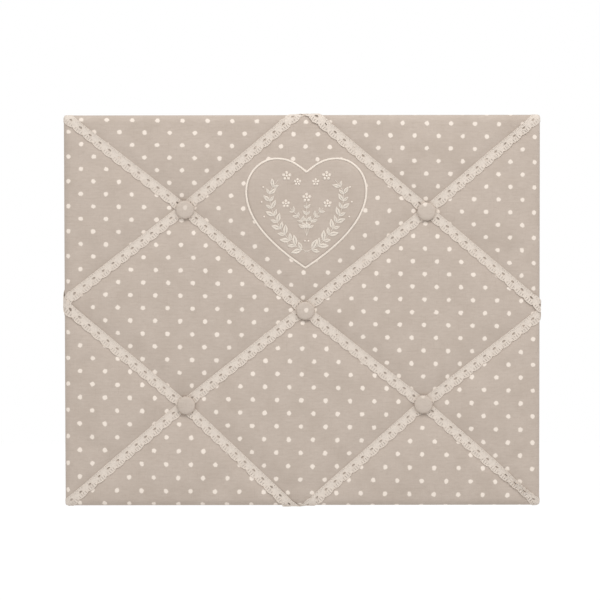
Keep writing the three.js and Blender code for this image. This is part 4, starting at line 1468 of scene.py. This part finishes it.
def satin_outline(stitches, heart):
    """Slanted satin stitches side by side along the heart's outline."""
    path, whole = even_steps(heart_outline(), SATIN_STEPS)
    path, _ = even_steps(path, int(whole / heart.stitch_pitch))
    ahead = np.roll(path, -1, axis=0) - np.roll(path, 1, axis=0)
    ahead /= np.linalg.norm(ahead, axis=1, keepdims=True)
    half = heart.stitch_width / 2
    slant = half * SATIN_SLANT
    for (x, z), (dx, dz) in zip(path, ahead):
        start = (x - dz * half - dx * slant, z + dx * half - dz * slant)
        end = (x + dz * half + dx * slant, z - dx * half + dz * slant)
        stitches.stitch(start, end, heart.thread, SATIN_ARCH)


FILL_ARCH = 0.2 * MM
LEAF_THREADS = 1.45
LEAST_STITCHES = 4
LEAF_BREADTH = 0.27
LEAF_ROUND = 0.8
LEAF_SWEEP = 0.16


def leaf(stitches, x, z, angle, size, heart):
    """A leaf of slanted stitches on both sides of its midrib."""
    along = np.array([math.cos(angle), math.sin(angle)])
    across = np.array([-along[1], along[0]])
    count = max(LEAST_STITCHES, round(size / (LEAF_THREADS * heart.thread)))
    for k in range(count):
        share = (k + 0.5) / count
        width = LEAF_BREADTH * size * math.sin(math.pi * share ** LEAF_ROUND)
        foot = np.array([x, z]) + along * size * share
        for side in (-1, 1):
            tip = foot + across * side * width + along * size * LEAF_SWEEP
            stitches.stitch(foot, tip, heart.thread, FILL_ARCH)


STEM_STITCH = 1.5 * MM
STEM_OVERLAP = 0.2
STEM_THREAD = 1.05
STEM_ARCH = 0.16 * MM
LEAST_POINTS = 3


def stem(stitches, path, heart):
    """A line of overlapping stem stitches."""
    _, whole = even_steps(path, 2, closed=False)
    points, _ = even_steps(path, max(LEAST_POINTS, round(whole / STEM_STITCH)), closed=False)
    for first, last in zip(points, points[1:]):
        run = (last - first) * STEM_OVERLAP
        stitches.stitch(first - run, last + run, heart.thread * STEM_THREAD, STEM_ARCH)


PETALS = 5
PETAL_STITCHES = range(-3, 4)
PETAL_SPREAD = 0.16
PETAL_ROUND = 0.035
PETAL_FOOT = 0.28
BLOSSOM_EYE = 0.24


def blossom(stitches, x, z, size, heart):
    """A five-petalled blossom with a knot in its middle."""
    foot = size * PETAL_FOOT
    for petal in range(PETALS):
        turn = math.pi / 2 + 2 * math.pi * petal / PETALS
        start = (x + math.cos(turn) * foot, z + math.sin(turn) * foot)
        for k in PETAL_STITCHES:
            spread = turn + k * PETAL_SPREAD
            reach = size * (1 - PETAL_ROUND * k * k)
            end = (x + math.cos(spread) * reach, z + math.sin(spread) * reach)
            stitches.stitch(start, end, heart.thread, FILL_ARCH)
    stitches.knot(x, z, size * BLOSSOM_EYE)


def smooth_way(points, count=60):
    """A smooth curve through given points."""
    points = np.array(points)
    ends = np.vstack([2 * points[0] - points[1], points, 2 * points[-1] - points[-2]])
    curve = []
    for a, b, c, d in zip(ends, ends[1:], ends[2:], ends[3:]):
        for t in np.linspace(0, 1, count // (len(points) - 1), endpoint=False):
            curve.append(0.5 * (2 * b + (c - a) * t + (2 * a - 5 * b + 4 * c - d) * t ** 2
                                + (3 * b - a - 3 * c + d) * t ** 3))
    curve.append(points[-1])
    return np.array(curve)


BRANCH = [(-3, -45), (12, -38), (28.5, -20), (40, 4), (42, 24), (33, 38)]
TENDRIL = [(11, -38), (20, -39), (22, -32), (16, -30)]
TENDRIL_POINTS = 24
LEAF_START = 9 * MM
LEAF_STEP = 8.6 * MM
LEAF_SIZES = (12 * MM, 9 * MM)
LEAF_ANGLE = math.radians(40)
SIDE_SPRIG = [(0, -26), (6, -9), (19, 6)]
MIDDLE_SPRIG = [(0, -26), (0, -7), (0, 12)]
SPRIG_START = 9 * MM
SPRIG_STEP = 7.5 * MM
SPRIG_SIZES = (8 * MM, 6.4 * MM)
BLOSSOMS = [(23, 43, 6.2), (10.5, 36, 4.8), (24, 11, 5.4)]
MIDDLE_BLOSSOM = (0, 18, 6.2)
BERRIES = [(49, -4), (52, 13), (50, 30), (2, -32)]
BERRY_RADIUS = 1.1 * MM
WAY_POINTS = 200
LEAF_CLEAR = 3 * MM
LEAF_TAPER = 0.3


def leafy_stem(stitches, way, start, step, sizes, heart):
    """A stem with pairs of leaves that shrink towards its end, the larger leaf on either side in turn."""
    stem(stitches, way, heart)
    _, whole = even_steps(way, 2, closed=False)
    points, _ = even_steps(way, WAY_POINTS, closed=False)
    for pair, station in enumerate(np.arange(start, whole - LEAF_CLEAR, step)):
        k = min(WAY_POINTS - 2, int(station / whole * (WAY_POINTS - 1)))
        heading = math.atan2(*(points[k + 1] - points[k])[::-1])
        taper = 1 - LEAF_TAPER * station / whole
        for hand, size in ((1, sizes[pair % 2]), (-1, sizes[1 - pair % 2])):
            leaf(stitches, *points[k], heading + hand * LEAF_ANGLE, size * taper, heart)


def sprays(leaves, flowers, heart):
    """Two mirrored leafy branches with blossoms at their ends, round a posy of three sprigs."""
    middle_z = (HEART_TOP + HEART_TIP) / 2

    def place(x, z, side):
        return HEART_X + side * x * MM, middle_z + z * MM
    for side in (-1, 1):
        branch = smooth_way([place(x, z, side) for x, z in BRANCH])
        leafy_stem(leaves, branch, LEAF_START, LEAF_STEP, LEAF_SIZES, heart)
        sprig = smooth_way([place(x, z, side) for x, z in SIDE_SPRIG])
        leafy_stem(leaves, sprig, SPRIG_START, SPRIG_STEP, SPRIG_SIZES, heart)
        stem(leaves, smooth_way([place(x, z, side) for x, z in TENDRIL], TENDRIL_POINTS), heart)
        for x, z, size in BLOSSOMS:
            blossom(flowers, *place(x, z, side), size * MM, heart)
        for x, z in BERRIES:
            flowers.knot(*place(x, z, side), BERRY_RADIUS)
    sprig = smooth_way([place(x, z, 1) for x, z in MIDDLE_SPRIG])
    leafy_stem(leaves, sprig, SPRIG_START, SPRIG_STEP, SPRIG_SIZES, heart)
    x, z, size = MIDDLE_BLOSSOM
    blossom(flowers, *place(x, z, 1), size * MM, heart)


PATCH_LIFT = 0.2 * MM
PATCH_EDGE_LIFT = 0.15 * MM
PATCH_SHEET = 0.15 * MM


class MEMO_OT_heart(Operator):
    """Sew the plain linen heart on, with its satin outline and leafy sprays"""
    bl_idname = "memo.heart"
    bl_label = "Heart Patch"

    def execute(self, context):
        heart = settings().heart
        finish = settings().finish
        outline, _ = even_steps(heart_outline(), HEART_STEPS)
        centre = np.array([HEART_X, (HEART_TOP + HEART_TIP) / 2])
        lift = heart.thickness + PATCH_LIFT
        corners, faces = [lay_on(SURFACES["linen"], *centre, lift)], []
        for ring in range(1, HEART_RINGS + 1):
            share = ring / HEART_RINGS
            if ring == HEART_RINGS:
                lift = PATCH_EDGE_LIFT
            for place in outline:
                spot = centre + (place - centre) * share
                corners.append(lay_on(SURFACES["linen"], *spot, lift))
        for k in range(HEART_STEPS):
            after = (k + 1) % HEART_STEPS
            faces.append([0, 1 + k, 1 + after])
            for ring in range(HEART_RINGS - 1):
                here, out = 1 + ring * HEART_STEPS, 1 + (ring + 1) * HEART_STEPS
                faces.append([here + k, out + k, out + after, here + after])
        uvs = [(corners[index].x, corners[index].z) for face in faces for index in face]
        patch = piece_from("heart_patch_linen", corners, faces, uvs)
        SURFACES["heart"] = surface_of(patch)
        apply_modifier(patch, "SOLIDIFY", thickness=PATCH_SHEET, offset=-1)
        shade_smooth(patch)
        finish_piece(patch, linen_finish("plain_linen"), "plain_linen", "heart_patch")
        outline_area(outline)
        cream = thread_finish("cream_thread", finish.embroidery)
        edge = Stitches(surface_of(patch, bpy.data.objects["linen_cover"]))
        satin_outline(edge, heart)
        edge.piece("heart_outline_stitches", cream, "lace")
        leaves, flowers = Stitches(SURFACES["heart"]), Stitches(SURFACES["heart"])
        sprays(leaves, flowers, heart)
        leaves.piece("heart_leaf_stitches", thread_finish("leaf_thread", finish.leaf), "lace")
        flowers.piece("heart_blossom_stitches", cream, "lace")
        return {"FINISHED"}


# Covered buttons
BUTTON_RADIUS = box_size("button_cover_middle").x / 2
BUTTON_RIM = 1.6 * MM
BUTTON_TUCK = 7.5 * MM
BUTTON_FLATNESS = 0.55
BUTTON_CLOTH = 0.4 * MM
DOME_STEPS = 13
RIM_STEPS = 4
# The pleats start at this share of the radius and are deeper behind the rim than on the dome
PLEAT_START = 0.8
PLEAT_BEHIND = 2.0
PLEAT_AHEAD = 0.6
CROWN_SPOT = 0.001 * MM
# Where a dot lies on each button, in millimetres across and up from its middle, and how strongly it shows
BUTTON_DOTS = {"top_left": (0.4, 2.2, 0.5), "top_right": (-1.7, 8.4, 0.8), "middle": (1.3, 0.6, 0.85),
               "bottom_left": (14.1, 0.0, 0.0), "bottom_right": (-0.6, 9.8, 0.5)}


def button_section():
    """Half section of a button from its crown over the dome and round the rim to the tuck."""
    section = []
    rise = BUTTON_SEAT - BUTTON_FRONT - BUTTON_RIM
    for turn in np.linspace(0, math.pi / 2, DOME_STEPS + 1)[1:]:
        reach = math.sin(turn) ** BUTTON_FLATNESS
        height = max(0.0, math.cos(turn)) ** BUTTON_FLATNESS
        section.append((reach * BUTTON_RADIUS, BUTTON_SEAT - BUTTON_RIM - height * rise))
    section += arc(
        BUTTON_RADIUS - BUTTON_RIM, BUTTON_SEAT - BUTTON_RIM, BUTTON_RIM, 0, math.pi / 2, RIM_STEPS)[1:]
    section.append((BUTTON_TUCK, BUTTON_SEAT))
    return section


class MEMO_OT_buttons(Operator):
    """Cover the five buttons with gathered linen"""
    bl_idname = "memo.buttons"
    bl_label = "Covered Buttons"

    def execute(self, context):
        # The button linen is the cover's linen with its ground painted paler, as painted light on the domes
        material = linen_finish("button_linen", "worn_dots_painted_light")
        for spot in SPOTS:
            cover = self.dome(spot)
            self.gather(cover, *BUTTON_CENTRES[spot])
            self.place_dot(cover, spot)
            turn_outwards(cover)
            apply_modifier(cover, "SOLIDIFY", thickness=BUTTON_CLOTH, offset=-1)
            shade_smooth(cover)
            finish_piece(cover, material, "button_linen", f"button_cover_{spot}")
        return {"FINISHED"}

    @staticmethod
    def dome(spot):
        """The linen from the crown over the dome and the rim to the tuck, ring by ring."""
        centre_x, centre_z = BUTTON_CENTRES[spot]
        section = button_section()
        sides = settings().button.segments
        crown = (centre_x, section[0][1], centre_z)
        cover = disc_piece(f"button_linen_{spot}", sides, "TRIFAN", section[0][0], crown, math.pi / 2)
        edit_all()
        bpy.ops.mesh.region_to_loop()
        extrude_along(bpy.ops.mesh.extrude_edges_move, section, centre_x, centre_z)
        leave_edit()
        return cover

    @staticmethod
    def gather(cover, centre_x, centre_z):
        """Raises the crown's middle to the dome's top and gathers the rim."""
        button = settings().button
        for vertex in cover.data.vertices:
            x, z = vertex.co.x - centre_x, vertex.co.z - centre_z
            reach = math.hypot(x, z)
            if reach < CROWN_SPOT:
                vertex.co.y = BUTTON_FRONT
                continue
            share = max(0.0, (reach / BUTTON_RADIUS - PLEAT_START) / (1 - PLEAT_START))
            depth = PLEAT_BEHIND if vertex.co.y > BUTTON_SEAT - BUTTON_RIM else PLEAT_AHEAD
            wave = math.cos(button.pleats * math.atan2(z, x)) * button.pleat_depth * share * depth
            vertex.co.x += x / reach * wave
            vertex.co.z += z / reach * wave

    @staticmethod
    def place_dot(cover, spot):
        """Flat coordinates that put a dot of the linen where it lies on this button."""
        dots = settings().dots
        centre_x, centre_z = BUTTON_CENTRES[spot]
        dot_x, dot_z, strength = BUTTON_DOTS[spot]
        shift_x = dots.start_x - centre_x - dot_x * MM
        shift_z = dots.start_z - centre_z - dot_z * MM
        while cover.data.uv_layers:
            cover.data.uv_layers.remove(cover.data.uv_layers[0])
        layer = cover.data.uv_layers.new(name="flat")
        for loop in cover.data.loops:
            place = cover.data.vertices[loop.vertex_index].co
            layer.data[loop.index].uv = (place.x + shift_x, place.z + shift_z)
        shown = cover.data.attributes.new("dot_strength", "FLOAT", "POINT")
        shown.data.foreach_set("value", [strength] * len(cover.data.vertices))


# Back panel, staples and hangers
PANEL_BEVEL = 0.6 * MM
STAPLE_WIDTH = 9 * MM
STAPLE_WIRE = 0.55 * MM
STAPLE_BREADTH = 1.3 * MM
STAPLE_PROUD = 0.35
STAPLE_CUTS = 7
# Past this share of its half width a staple bends into the panel and draws in
STAPLE_BEND = 0.72
STAPLE_LEG = 1.1 * MM
STAPLE_DRAW = 0.06
STAPLE_BEVEL = 0.12 * MM
STAPLE_INSET = 7 * MM
STAPLES_ACROSS = 7
STAPLES_DOWN = 5
REACH_ACROSS = 0.92
REACH_DOWN = 0.8


class MEMO_OT_back(Operator):
    """Close the back with a stapled hardboard panel"""
    bl_idname = "memo.back"
    bl_label = "Back Panel"

    def execute(self, context):
        hardboard = pressed_board_finish("brown_hardboard", settings().finish.hardboard, 0.5)
        panel = cube_piece("hardboard_panel", (PANEL_LOW + PANEL_HIGH) / 2, PANEL_HIGH - PANEL_LOW)
        apply_modifier(panel, "BEVEL", width=PANEL_BEVEL, segments=3)
        shade_smooth(panel, HARD_CREASE)
        finish_piece(panel, hardboard, "hardboard", "back_panel")
        self.staples()
        return {"FINISHED"}

    def staples(self):
        """Staples along all four edges of the panel, joined into one piece."""
        zinc = metal_finish("staple_wire", settings().finish.zinc, 0.35)
        places = []
        wide, tall = PANEL_HIGH.x - STAPLE_INSET, PANEL_HIGH.z - STAPLE_INSET
        for share in np.linspace(-REACH_ACROSS, REACH_ACROSS, STAPLES_ACROSS):
            places += [(share * wide, tall, False), (share * wide, -tall, False)]
        for share in np.linspace(-REACH_DOWN, REACH_DOWN, STAPLES_DOWN):
            places += [(wide, share * tall, True), (-wide, share * tall, True)]
        staple = self.one_staple()
        copies = []
        for x, z, upright in places:
            copy = add_to_scene(staple.copy())
            copy.data = staple.data.copy()
            for vertex in copy.data.vertices:
                along, across = vertex.co.x, vertex.co.z
                vertex.co.x = x + (across if upright else along)
                vertex.co.z = z + (along if upright else across)
            copies.append(copy)
        bpy.data.objects.remove(staple)
        deselect_all()
        for copy in copies:
            copy.select_set(True)
        bpy.context.view_layer.objects.active = copies[0]
        bpy.ops.object.join()
        joined = bpy.context.object
        joined.name = "panel_staples"
        turn_outwards(joined)
        shade_smooth(joined, SOFT_CREASE)
        finish_piece(joined, zinc, "zinc_steel")

    @staticmethod
    def one_staple():
        """A flat-crowned staple whose bent legs go into the panel."""
        middle = (0, PANEL_HIGH.y + STAPLE_WIRE * STAPLE_PROUD, 0)
        staple = cube_piece("staple", middle, (STAPLE_WIDTH, STAPLE_WIRE, STAPLE_BREADTH))
        edit_all()
        bpy.ops.mesh.subdivide(number_cuts=STAPLE_CUTS)
        leave_edit()
        half = STAPLE_WIDTH / 2
        for vertex in staple.data.vertices:
            past = max(0.0, (abs(vertex.co.x) / half - STAPLE_BEND) / (1 - STAPLE_BEND))
            vertex.co.y -= STAPLE_LEG * past ** 2
            vertex.co.x *= 1 - STAPLE_DRAW * past
        apply_modifier(staple, "BEVEL", width=STAPLE_BEVEL, segments=2)
        return staple


RING_WIRE = 1.0 * MM
RING_HALF = 7.5 * MM
RING_SHOULDER = 2.0 * MM
RING_ROUND = 4
BAR_SHARES = (-1, -0.5, 0, 0.5, 1)
SHOULDER_STEPS = 6
BOW_STEPS = 32
STRAP_SHEET = 0.9 * MM
STRAP_HALF = 4.5 * MM
STRAP_LENGTH = 24 * MM
STRAP_STEPS = 24
STRAP_SHARES = (-1, -0.6, 0, 0.6, 1)
STRAP_BEVEL = 0.15 * MM
# How far below the ring's bar the front leaf ends and the rear leaf starts
FRONT_END = 1.5 * MM
REAR_START = 2.6 * MM
REAR_DEPTH = 1.55 * STRAP_SHEET
# The round tongue still has some width at its very end
TONGUE_LEAST = 0.02
LOOP_RADIUS = 1.8 * MM
LOOP_CLOSE = -0.75
LOOP_STEPS = 21
# Reach and drop of the screw head's section, as shares of its radius and height
SCREW_SECTION = ((1, 1), (1, 0.62), (0.93, 0.4), (0.78, 0.2), (0.5, 0.06), (0.2, 0))
SCREW_SIDES = 40
SCREW_HEAD = 2.0 * MM
SCREW_CREASE = 35
RECESS_SHARES = (1.0, 0.24)
RECESS_CUT = 1.2 * MM
JOINTS = {joint["child"]: Vector(joint["pos_m"]) for joint in frame["joints"]}


class MEMO_OT_hangers(Operator):
    """Screw on the two strap hangers with their swinging rings"""
    bl_idname = "memo.hangers"
    bl_label = "Strap Hangers"

    def execute(self, context):
        zinc = metal_finish("zinc_plate", settings().finish.zinc, 0.3)
        for side in SIDES:
            pivot = JOINTS[f"ring_{side}"]
            self.ring(side, pivot, zinc)
            self.strap(side, pivot, zinc)
            self.screw(side, zinc)
        return {"FINISHED"}

    @staticmethod
    def ring(side, pivot, zinc):
        """A round wire bent to a D, hanging from the strap's loop."""
        bar = RING_HALF - RING_SHOULDER
        way = [(share * bar, 0.0) for share in BAR_SHARES]
        way += arc(bar, -RING_SHOULDER, RING_SHOULDER, math.pi / 2, 0, SHOULDER_STEPS)[1:]
        way += arc(0, -RING_SHOULDER, RING_HALF, 0, -math.pi, BOW_STEPS)[1:-1]
        way += arc(-bar, -RING_SHOULDER, RING_SHOULDER, math.pi, math.pi / 2, SHOULDER_STEPS)[:-1]
        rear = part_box(f"hanger_ring_{side}")[1].y
        tilt = math.asin(min(1.0, (rear - RING_WIRE - pivot.y) / (RING_SHOULDER + RING_HALF)))
        curve = bpy.data.curves.new(f"hanger_d_ring_{side}", "CURVE")
        curve.dimensions = "3D"
        curve.bevel_depth = RING_WIRE
        curve.bevel_resolution = RING_ROUND
        spline = curve.splines.new("POLY")
        spline.points.add(len(way) - 1)
        for point, (x, down) in zip(spline.points, way):
            point.co = (pivot.x + x, pivot.y - down * math.sin(tilt), pivot.z + down * math.cos(tilt), 1)
        spline.use_cyclic_u = True
        make_active(add_to_scene(bpy.data.objects.new(curve.name, curve)))
        bpy.ops.object.convert(target="MESH")
        piece = bpy.context.object
        turn_outwards(piece)
        shade_smooth(piece)
        finish_piece(piece, zinc, "zinc_steel", f"hanger_ring_{side}", body=f"ring_{side}")

    @staticmethod
    def strap(side, pivot, zinc):
        """Sheet metal folded double round the ring's bar, with a round tongue."""
        line = [(STRAP_SHEET / 2, z) for z in np.linspace(-STRAP_LENGTH, -FRONT_END, STRAP_STEPS)]
        line += arc(pivot.y, 0, LOOP_RADIUS, math.pi, LOOP_CLOSE, LOOP_STEPS)
        line += [(REAR_DEPTH, z) for z in np.linspace(-REAR_START, -STRAP_LENGTH, STRAP_STEPS)]
        corners = []
        for y, z in line:
            past = max(0.0, -(z + STRAP_LENGTH - STRAP_HALF) / STRAP_HALF)
            half = STRAP_HALF * math.sqrt(max(TONGUE_LEAST, 1 - past ** 2))
            corners += [(pivot.x + half * share, y, pivot.z + z) for share in STRAP_SHARES]
        faces = grid_faces(len(STRAP_SHARES), len(line))
        piece = piece_from(f"hanger_tongue_{side}", corners, faces)
        turn_outwards(piece)
        apply_modifier(piece, "SOLIDIFY", thickness=STRAP_SHEET, offset=0)
        apply_modifier(piece, "BEVEL", width=STRAP_BEVEL, segments=2, limit_method="ANGLE")
        shade_smooth(piece, HARD_CREASE)
        finish_piece(piece, zinc, "zinc_steel", f"hanger_strap_{side}")

    @staticmethod
    def screw(side, zinc):
        """A pan-head screw with a cross recess."""
        low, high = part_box(f"hanger_screw_{side}")
        centre_x, centre_z = plan_centre(f"hanger_screw_{side}")
        radius = (high.x - low.x) / 2
        section = [(reach * radius, high.y - drop * SCREW_HEAD) for reach, drop in SCREW_SECTION]
        start = (centre_x, section[0][1], centre_z)
        piece = disc_piece(f"hanger_pan_screw_{side}", SCREW_SIDES, "NGON", radius, start, -math.pi / 2)
        edit_all()
        extrude_along(bpy.ops.mesh.extrude_region_move, section, centre_x, centre_z)
        leave_edit()
        turn_outwards(piece)
        for long, wide in (RECESS_SHARES, RECESS_SHARES[::-1]):
            size = (long * radius, RECESS_CUT, wide * radius)
            cutter = cube_piece("recess", (centre_x, high.y, centre_z), size)
            apply_modifier(piece, "BOOLEAN", object=cutter, operation="DIFFERENCE", solver="EXACT")
            bpy.data.objects.remove(cutter)
        shade_smooth(piece, SCREW_CREASE)
        finish_piece(piece, zinc, "zinc_steel", f"hanger_screw_{side}")


class MEMO_OT_inner_pieces(Operator):
    """Give the pieces inside the board their finishes"""
    bl_idname = "memo.inner_pieces"
    bl_label = "Inner Pieces"

    def execute(self, context):
        finish = settings().finish
        tin = metal_finish("tinned_sheet", finish.tinplate, 0.35)
        thread = thread_finish("waxed_thread", finish.lace)
        horn = plastic_finish("anchor_plastic", finish.horn)
        fibre = pressed_board_finish("raw_fibreboard", finish.fibreboard, 0.7)
        looks = {"backing_board": fibre}
        for spot in SPOTS:
            looks[f"button_shell_{spot}"] = tin
            looks[f"button_back_{spot}"] = tin
            looks[f"button_tie_{spot}"] = thread
            looks[f"tie_anchor_{spot}"] = horn
        for node, material in looks.items():
            data = frame["nodes"][node].data
            data.materials.clear()
            data.materials.append(material)
        return {"FINISHED"}


# Stage
FLOOR_SIZE = 14
FLOOR_GREY = (0.8, 0.8, 0.8, 1)
FLOOR_GLOW = 0.35
LAMP_SIZE = (2.4, 1.2)
LAMP_PLACE = Vector((0.3, -1.5, 1.9))
SENSOR_WIDTH = 36
VIEW_REACH = 100


class MEMO_OT_stage(Operator):
    """Set the pale floor, the soft light and the camera"""
    bl_idname = "memo.stage"
    bl_label = "Stage"

    def execute(self, context):
        stage = settings().stage
        context.scene.view_settings.view_transform = "Standard"
        self.world(context, stage)
        self.floor(stage)
        self.lamp(stage)
        self.camera(context, stage)
        return {"FINISHED"}

    @staticmethod
    def world(context, stage):
        """Even light from all round, which the camera and mirrors see as white."""
        world = bpy.data.worlds.new("studio")
        context.scene.world = world
        world.use_nodes = True
        nodes, links = world.node_tree.nodes, world.node_tree.links
        sky, white = nodes["Background"], nodes.new("ShaderNodeBackground")
        for background, strength in ((sky, stage.sky), (white, 1.0)):
            background.inputs["Color"].default_value = WHITE
            background.inputs["Strength"].default_value = strength
        path = nodes.new("ShaderNodeLightPath")
        seen = path.outputs["Is Camera Ray"]
        for ray in ("Is Glossy Ray", "Is Transmission Ray"):
            either = nodes.new("ShaderNodeMath")
            either.operation = "MAXIMUM"
            links.new(seen, either.inputs[0])
            links.new(path.outputs[ray], either.inputs[1])
            seen = either.outputs[0]
        mix = nodes.new("ShaderNodeMixShader")
        for socket, source in enumerate((seen, sky.outputs[0], white.outputs[0])):
            links.new(source, mix.inputs[socket])
        links.new(mix.outputs[0], nodes["World Output"].inputs["Surface"])

    @staticmethod
    def floor(stage):
        """A pale floor that glows a little where the camera or a mirror sees it."""
        deselect_all()
        place = (0, 0, CAD_BOX[0].z - stage.floor_drop)
        bpy.ops.mesh.primitive_plane_add(size=FLOOR_SIZE, location=place)
        floor = bpy.context.object
        floor.name = "floor"
        paint = Paint("pale_floor", Base_Color=FLOOR_GREY, Roughness=0.9)
        seen = ("Is Camera Ray", "Is Glossy Ray", "Is Transmission Ray")
        camera, glossy, through = paint.node("ShaderNodeLightPath", None, None, seen)
        glow = paint.node("ShaderNodeEmission", None, {"Strength": (camera + glossy + through) * FLOOR_GLOW})
        added = paint.node("ShaderNodeAddShader", None, {0: Value(paint, paint.shader.outputs[0]), 1: glow})
        paint.feed(paint.tree.nodes["Material Output"].inputs["Surface"], added)
        floor.data.materials.append(paint.material)

    @staticmethod
    def lamp(stage):
        """One large lamp above and ahead of the board, aimed at it."""
        data = bpy.data.lights.new("overhead", "AREA")
        data.shape = "RECTANGLE"
        data.size, data.size_y = LAMP_SIZE
        data.energy = stage.key
        lamp = add_to_scene(bpy.data.objects.new("overhead", data))
        lamp.location = LAMP_PLACE
        lamp.rotation_euler = (-LAMP_PLACE).to_track_quat("-Z", "Y").to_euler()

    @staticmethod
    def camera(context, stage):
        """The photograph's view, almost square on."""
        data = bpy.data.cameras.new("front_view")
        data.sensor_width = SENSOR_WIDTH
        data.lens = SENSOR_WIDTH * stage.distance / stage.picture_width
        data.clip_end = VIEW_REACH
        camera = add_to_scene(bpy.data.objects.new("front_view", data))
        view = Euler((math.pi / 2 - stage.rise, 0, 0)).to_matrix() @ Matrix.Rotation(stage.roll, 3, "Z")
        aim = Vector((stage.view_x, CROWN, stage.view_z))
        camera.location = aim + view @ Vector((0, 0, stage.distance))
        camera.rotation_euler = view.to_euler()
        context.scene.camera = camera


STEPS = (MEMO_OT_stage, MEMO_OT_linen_cover, MEMO_OT_heart, MEMO_OT_lace, MEMO_OT_buttons, MEMO_OT_back,
         MEMO_OT_hangers, MEMO_OT_inner_pieces)


class MEMO_PT_board(Panel):
    """Sidebar panel with the board's steps and settings"""
    bl_idname = "MEMO_PT_board"
    bl_label = "French Memo Board"
    bl_space_type = "VIEW_3D"
    bl_region_type = "UI"
    bl_category = "Memo Board"

    def draw(self, context):
        for step in STEPS:
            self.layout.operator(step.bl_idname)
        for group in BoardSettings.__annotations__:
            box = self.layout.box()
            box.label(text=group.title())
            part = getattr(context.scene.memo_board, group)
            for name in part.bl_rna.properties.keys():
                if name not in ("rna_type", "name"):
                    box.prop(part, name)


CLASSES = (PaddingSettings, DotSettings, LaceSettings, HeartSettings, ButtonSettings, FinishSettings,
           StageSettings, BoardSettings, *STEPS, MEMO_PT_board)


def register():
    for item in CLASSES:
        bpy.utils.register_class(item)
    bpy.types.Scene.memo_board = PointerProperty(type=BoardSettings)


def unregister():
    del bpy.types.Scene.memo_board
    for item in reversed(CLASSES):
        bpy.utils.unregister_class(item)


def main():
    register()
    bpy.ops.memo.stage()
    bpy.ops.memo.linen_cover()
    bpy.ops.memo.heart()
    bpy.ops.memo.lace()
    bpy.ops.memo.buttons()
    bpy.ops.memo.back()
    bpy.ops.memo.hangers()
    bpy.ops.memo.inner_pieces()


if __name__ == "__main__":
    main()
